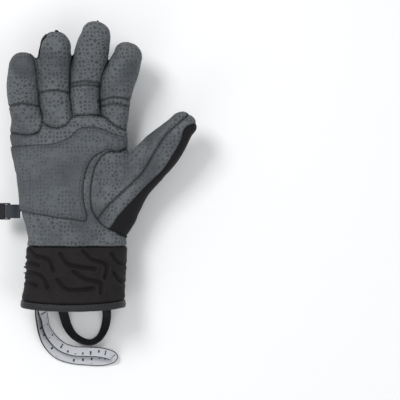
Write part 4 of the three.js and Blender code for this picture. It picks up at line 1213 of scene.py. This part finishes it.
def stitches(hand, cuff):
    palm = [hand[name] for name in ("palm_patch", "palm_leather")]
    fronts = [bm for name, bm in hand.items() if name.endswith("_front") or name == "palm_leather"]
    thumb = [hand["thumb_web_panel"], hand["thumb_side_panel"]]
    patch = on_palm(PATCH_OUTLINE)
    stitch_rows("patch_stitches", palm, [shifted(patch, row) for row in PATCH_ROWS])
    base = on_palm(FINGER_BASE_LINE[1:-1])
    stitch_rows("finger_base_stitches", fronts, [shifted(base, row) for row in BASE_ROWS])
    seam = on_palm(THUMB_SEAM_LINE[1:-1])
    stitch_rows("thumb_stitches", thumb, [shifted(seam, row) for row in SEAM_ROWS])
    backs = [hand[name] for name in ("finger_backs", "hand_back", "wrist_back")]
    lines = [on_palm(KNUCKLE_LINE), on_palm(WRIST_LINE)]
    rows = [shifted(line, row) for line in lines for row in reversed(SEAM_ROWS)]
    stitch_rows("back_stitches", backs, rows, below=True)
    start = SLIT_PLACE + SLIT_WIDTH / 2 - TAB_INSET
    end = start - TAB_LENGTH + 2 * TAB_INSET
    low, high = CUFF_START + WALL + TAB_INSET, CUFF_START + WALL + TAB_WIDTH - TAB_INSET
    corners = [(start, low), (end, low), (end + TAB_SLANT, high), (start, high), (start, low)]
    sides = [np.linspace(a, b, 80) for a, b in zip(map(np.array, corners[:-1]), map(np.array, corners[1:]))]
    stitch_rows("tab_stitches", [cuff["closure_tab"]], sides, below=True)
    hem = [(-0.49 * CUFF_WIDTH, HEM_ROW), (0, HEM_ROW - HEM_BOW), (0.45 * CUFF_WIDTH, HEM_ROW)]
    stitch_rows("hem_stitches", [cuff["cuff_hem"]], [smooth_line(hem, 80)], *HEM_STITCH)


# Floor, light and camera
def stage():
    floor = bpy.data.meshes.new("floor")
    bm = bmesh.new()
    bmesh.ops.create_grid(bm, x_segments=1, y_segments=1, size=FLOOR_SIZE)
    bm.to_mesh(floor)
    bm.free()
    obj = bpy.data.objects.new("floor", floor)
    bpy.context.collection.objects.link(obj)
    pale = Finish("pale_floor", FLOOR_GREY, 0.8)
    floor.materials.append(pale.material)
    world = bpy.data.worlds.new("studio")
    world.use_nodes = True
    background = world.node_tree.nodes["Background"]
    background.inputs["Color"].default_value = (*SKY, 1)
    background.inputs["Strength"].default_value = SKY_STRENGTH
    bpy.context.scene.world = world
    for name, (place, size, power) in LAMPS.items():
        light = bpy.data.lights.new(name, "AREA")
        light.size = size
        light.energy = power
        lamp = bpy.data.objects.new(name, light)
        lamp.location = place
        lamp.rotation_euler = (-Vector(place)).to_track_quat("-Z", "Y").to_euler()
        bpy.context.collection.objects.link(lamp)
    camera = bpy.data.cameras.new("camera")
    camera.lens = CAMERA_LENS
    camera.sensor_width = 36
    eye = bpy.data.objects.new("camera", camera)
    eye.location = CAMERA_PLACE
    bpy.context.collection.objects.link(eye)
    bpy.context.scene.camera = eye
    bpy.context.scene.view_settings.view_transform = "Standard"


hand_skins = hand_pieces()
cuff_skins = cuff_pieces()
webbing_pieces()
clip_pieces()
stitches(hand_skins, cuff_skins)
for bm in (*hand_skins.values(), *cuff_skins.values()):
    bm.free()
stage()
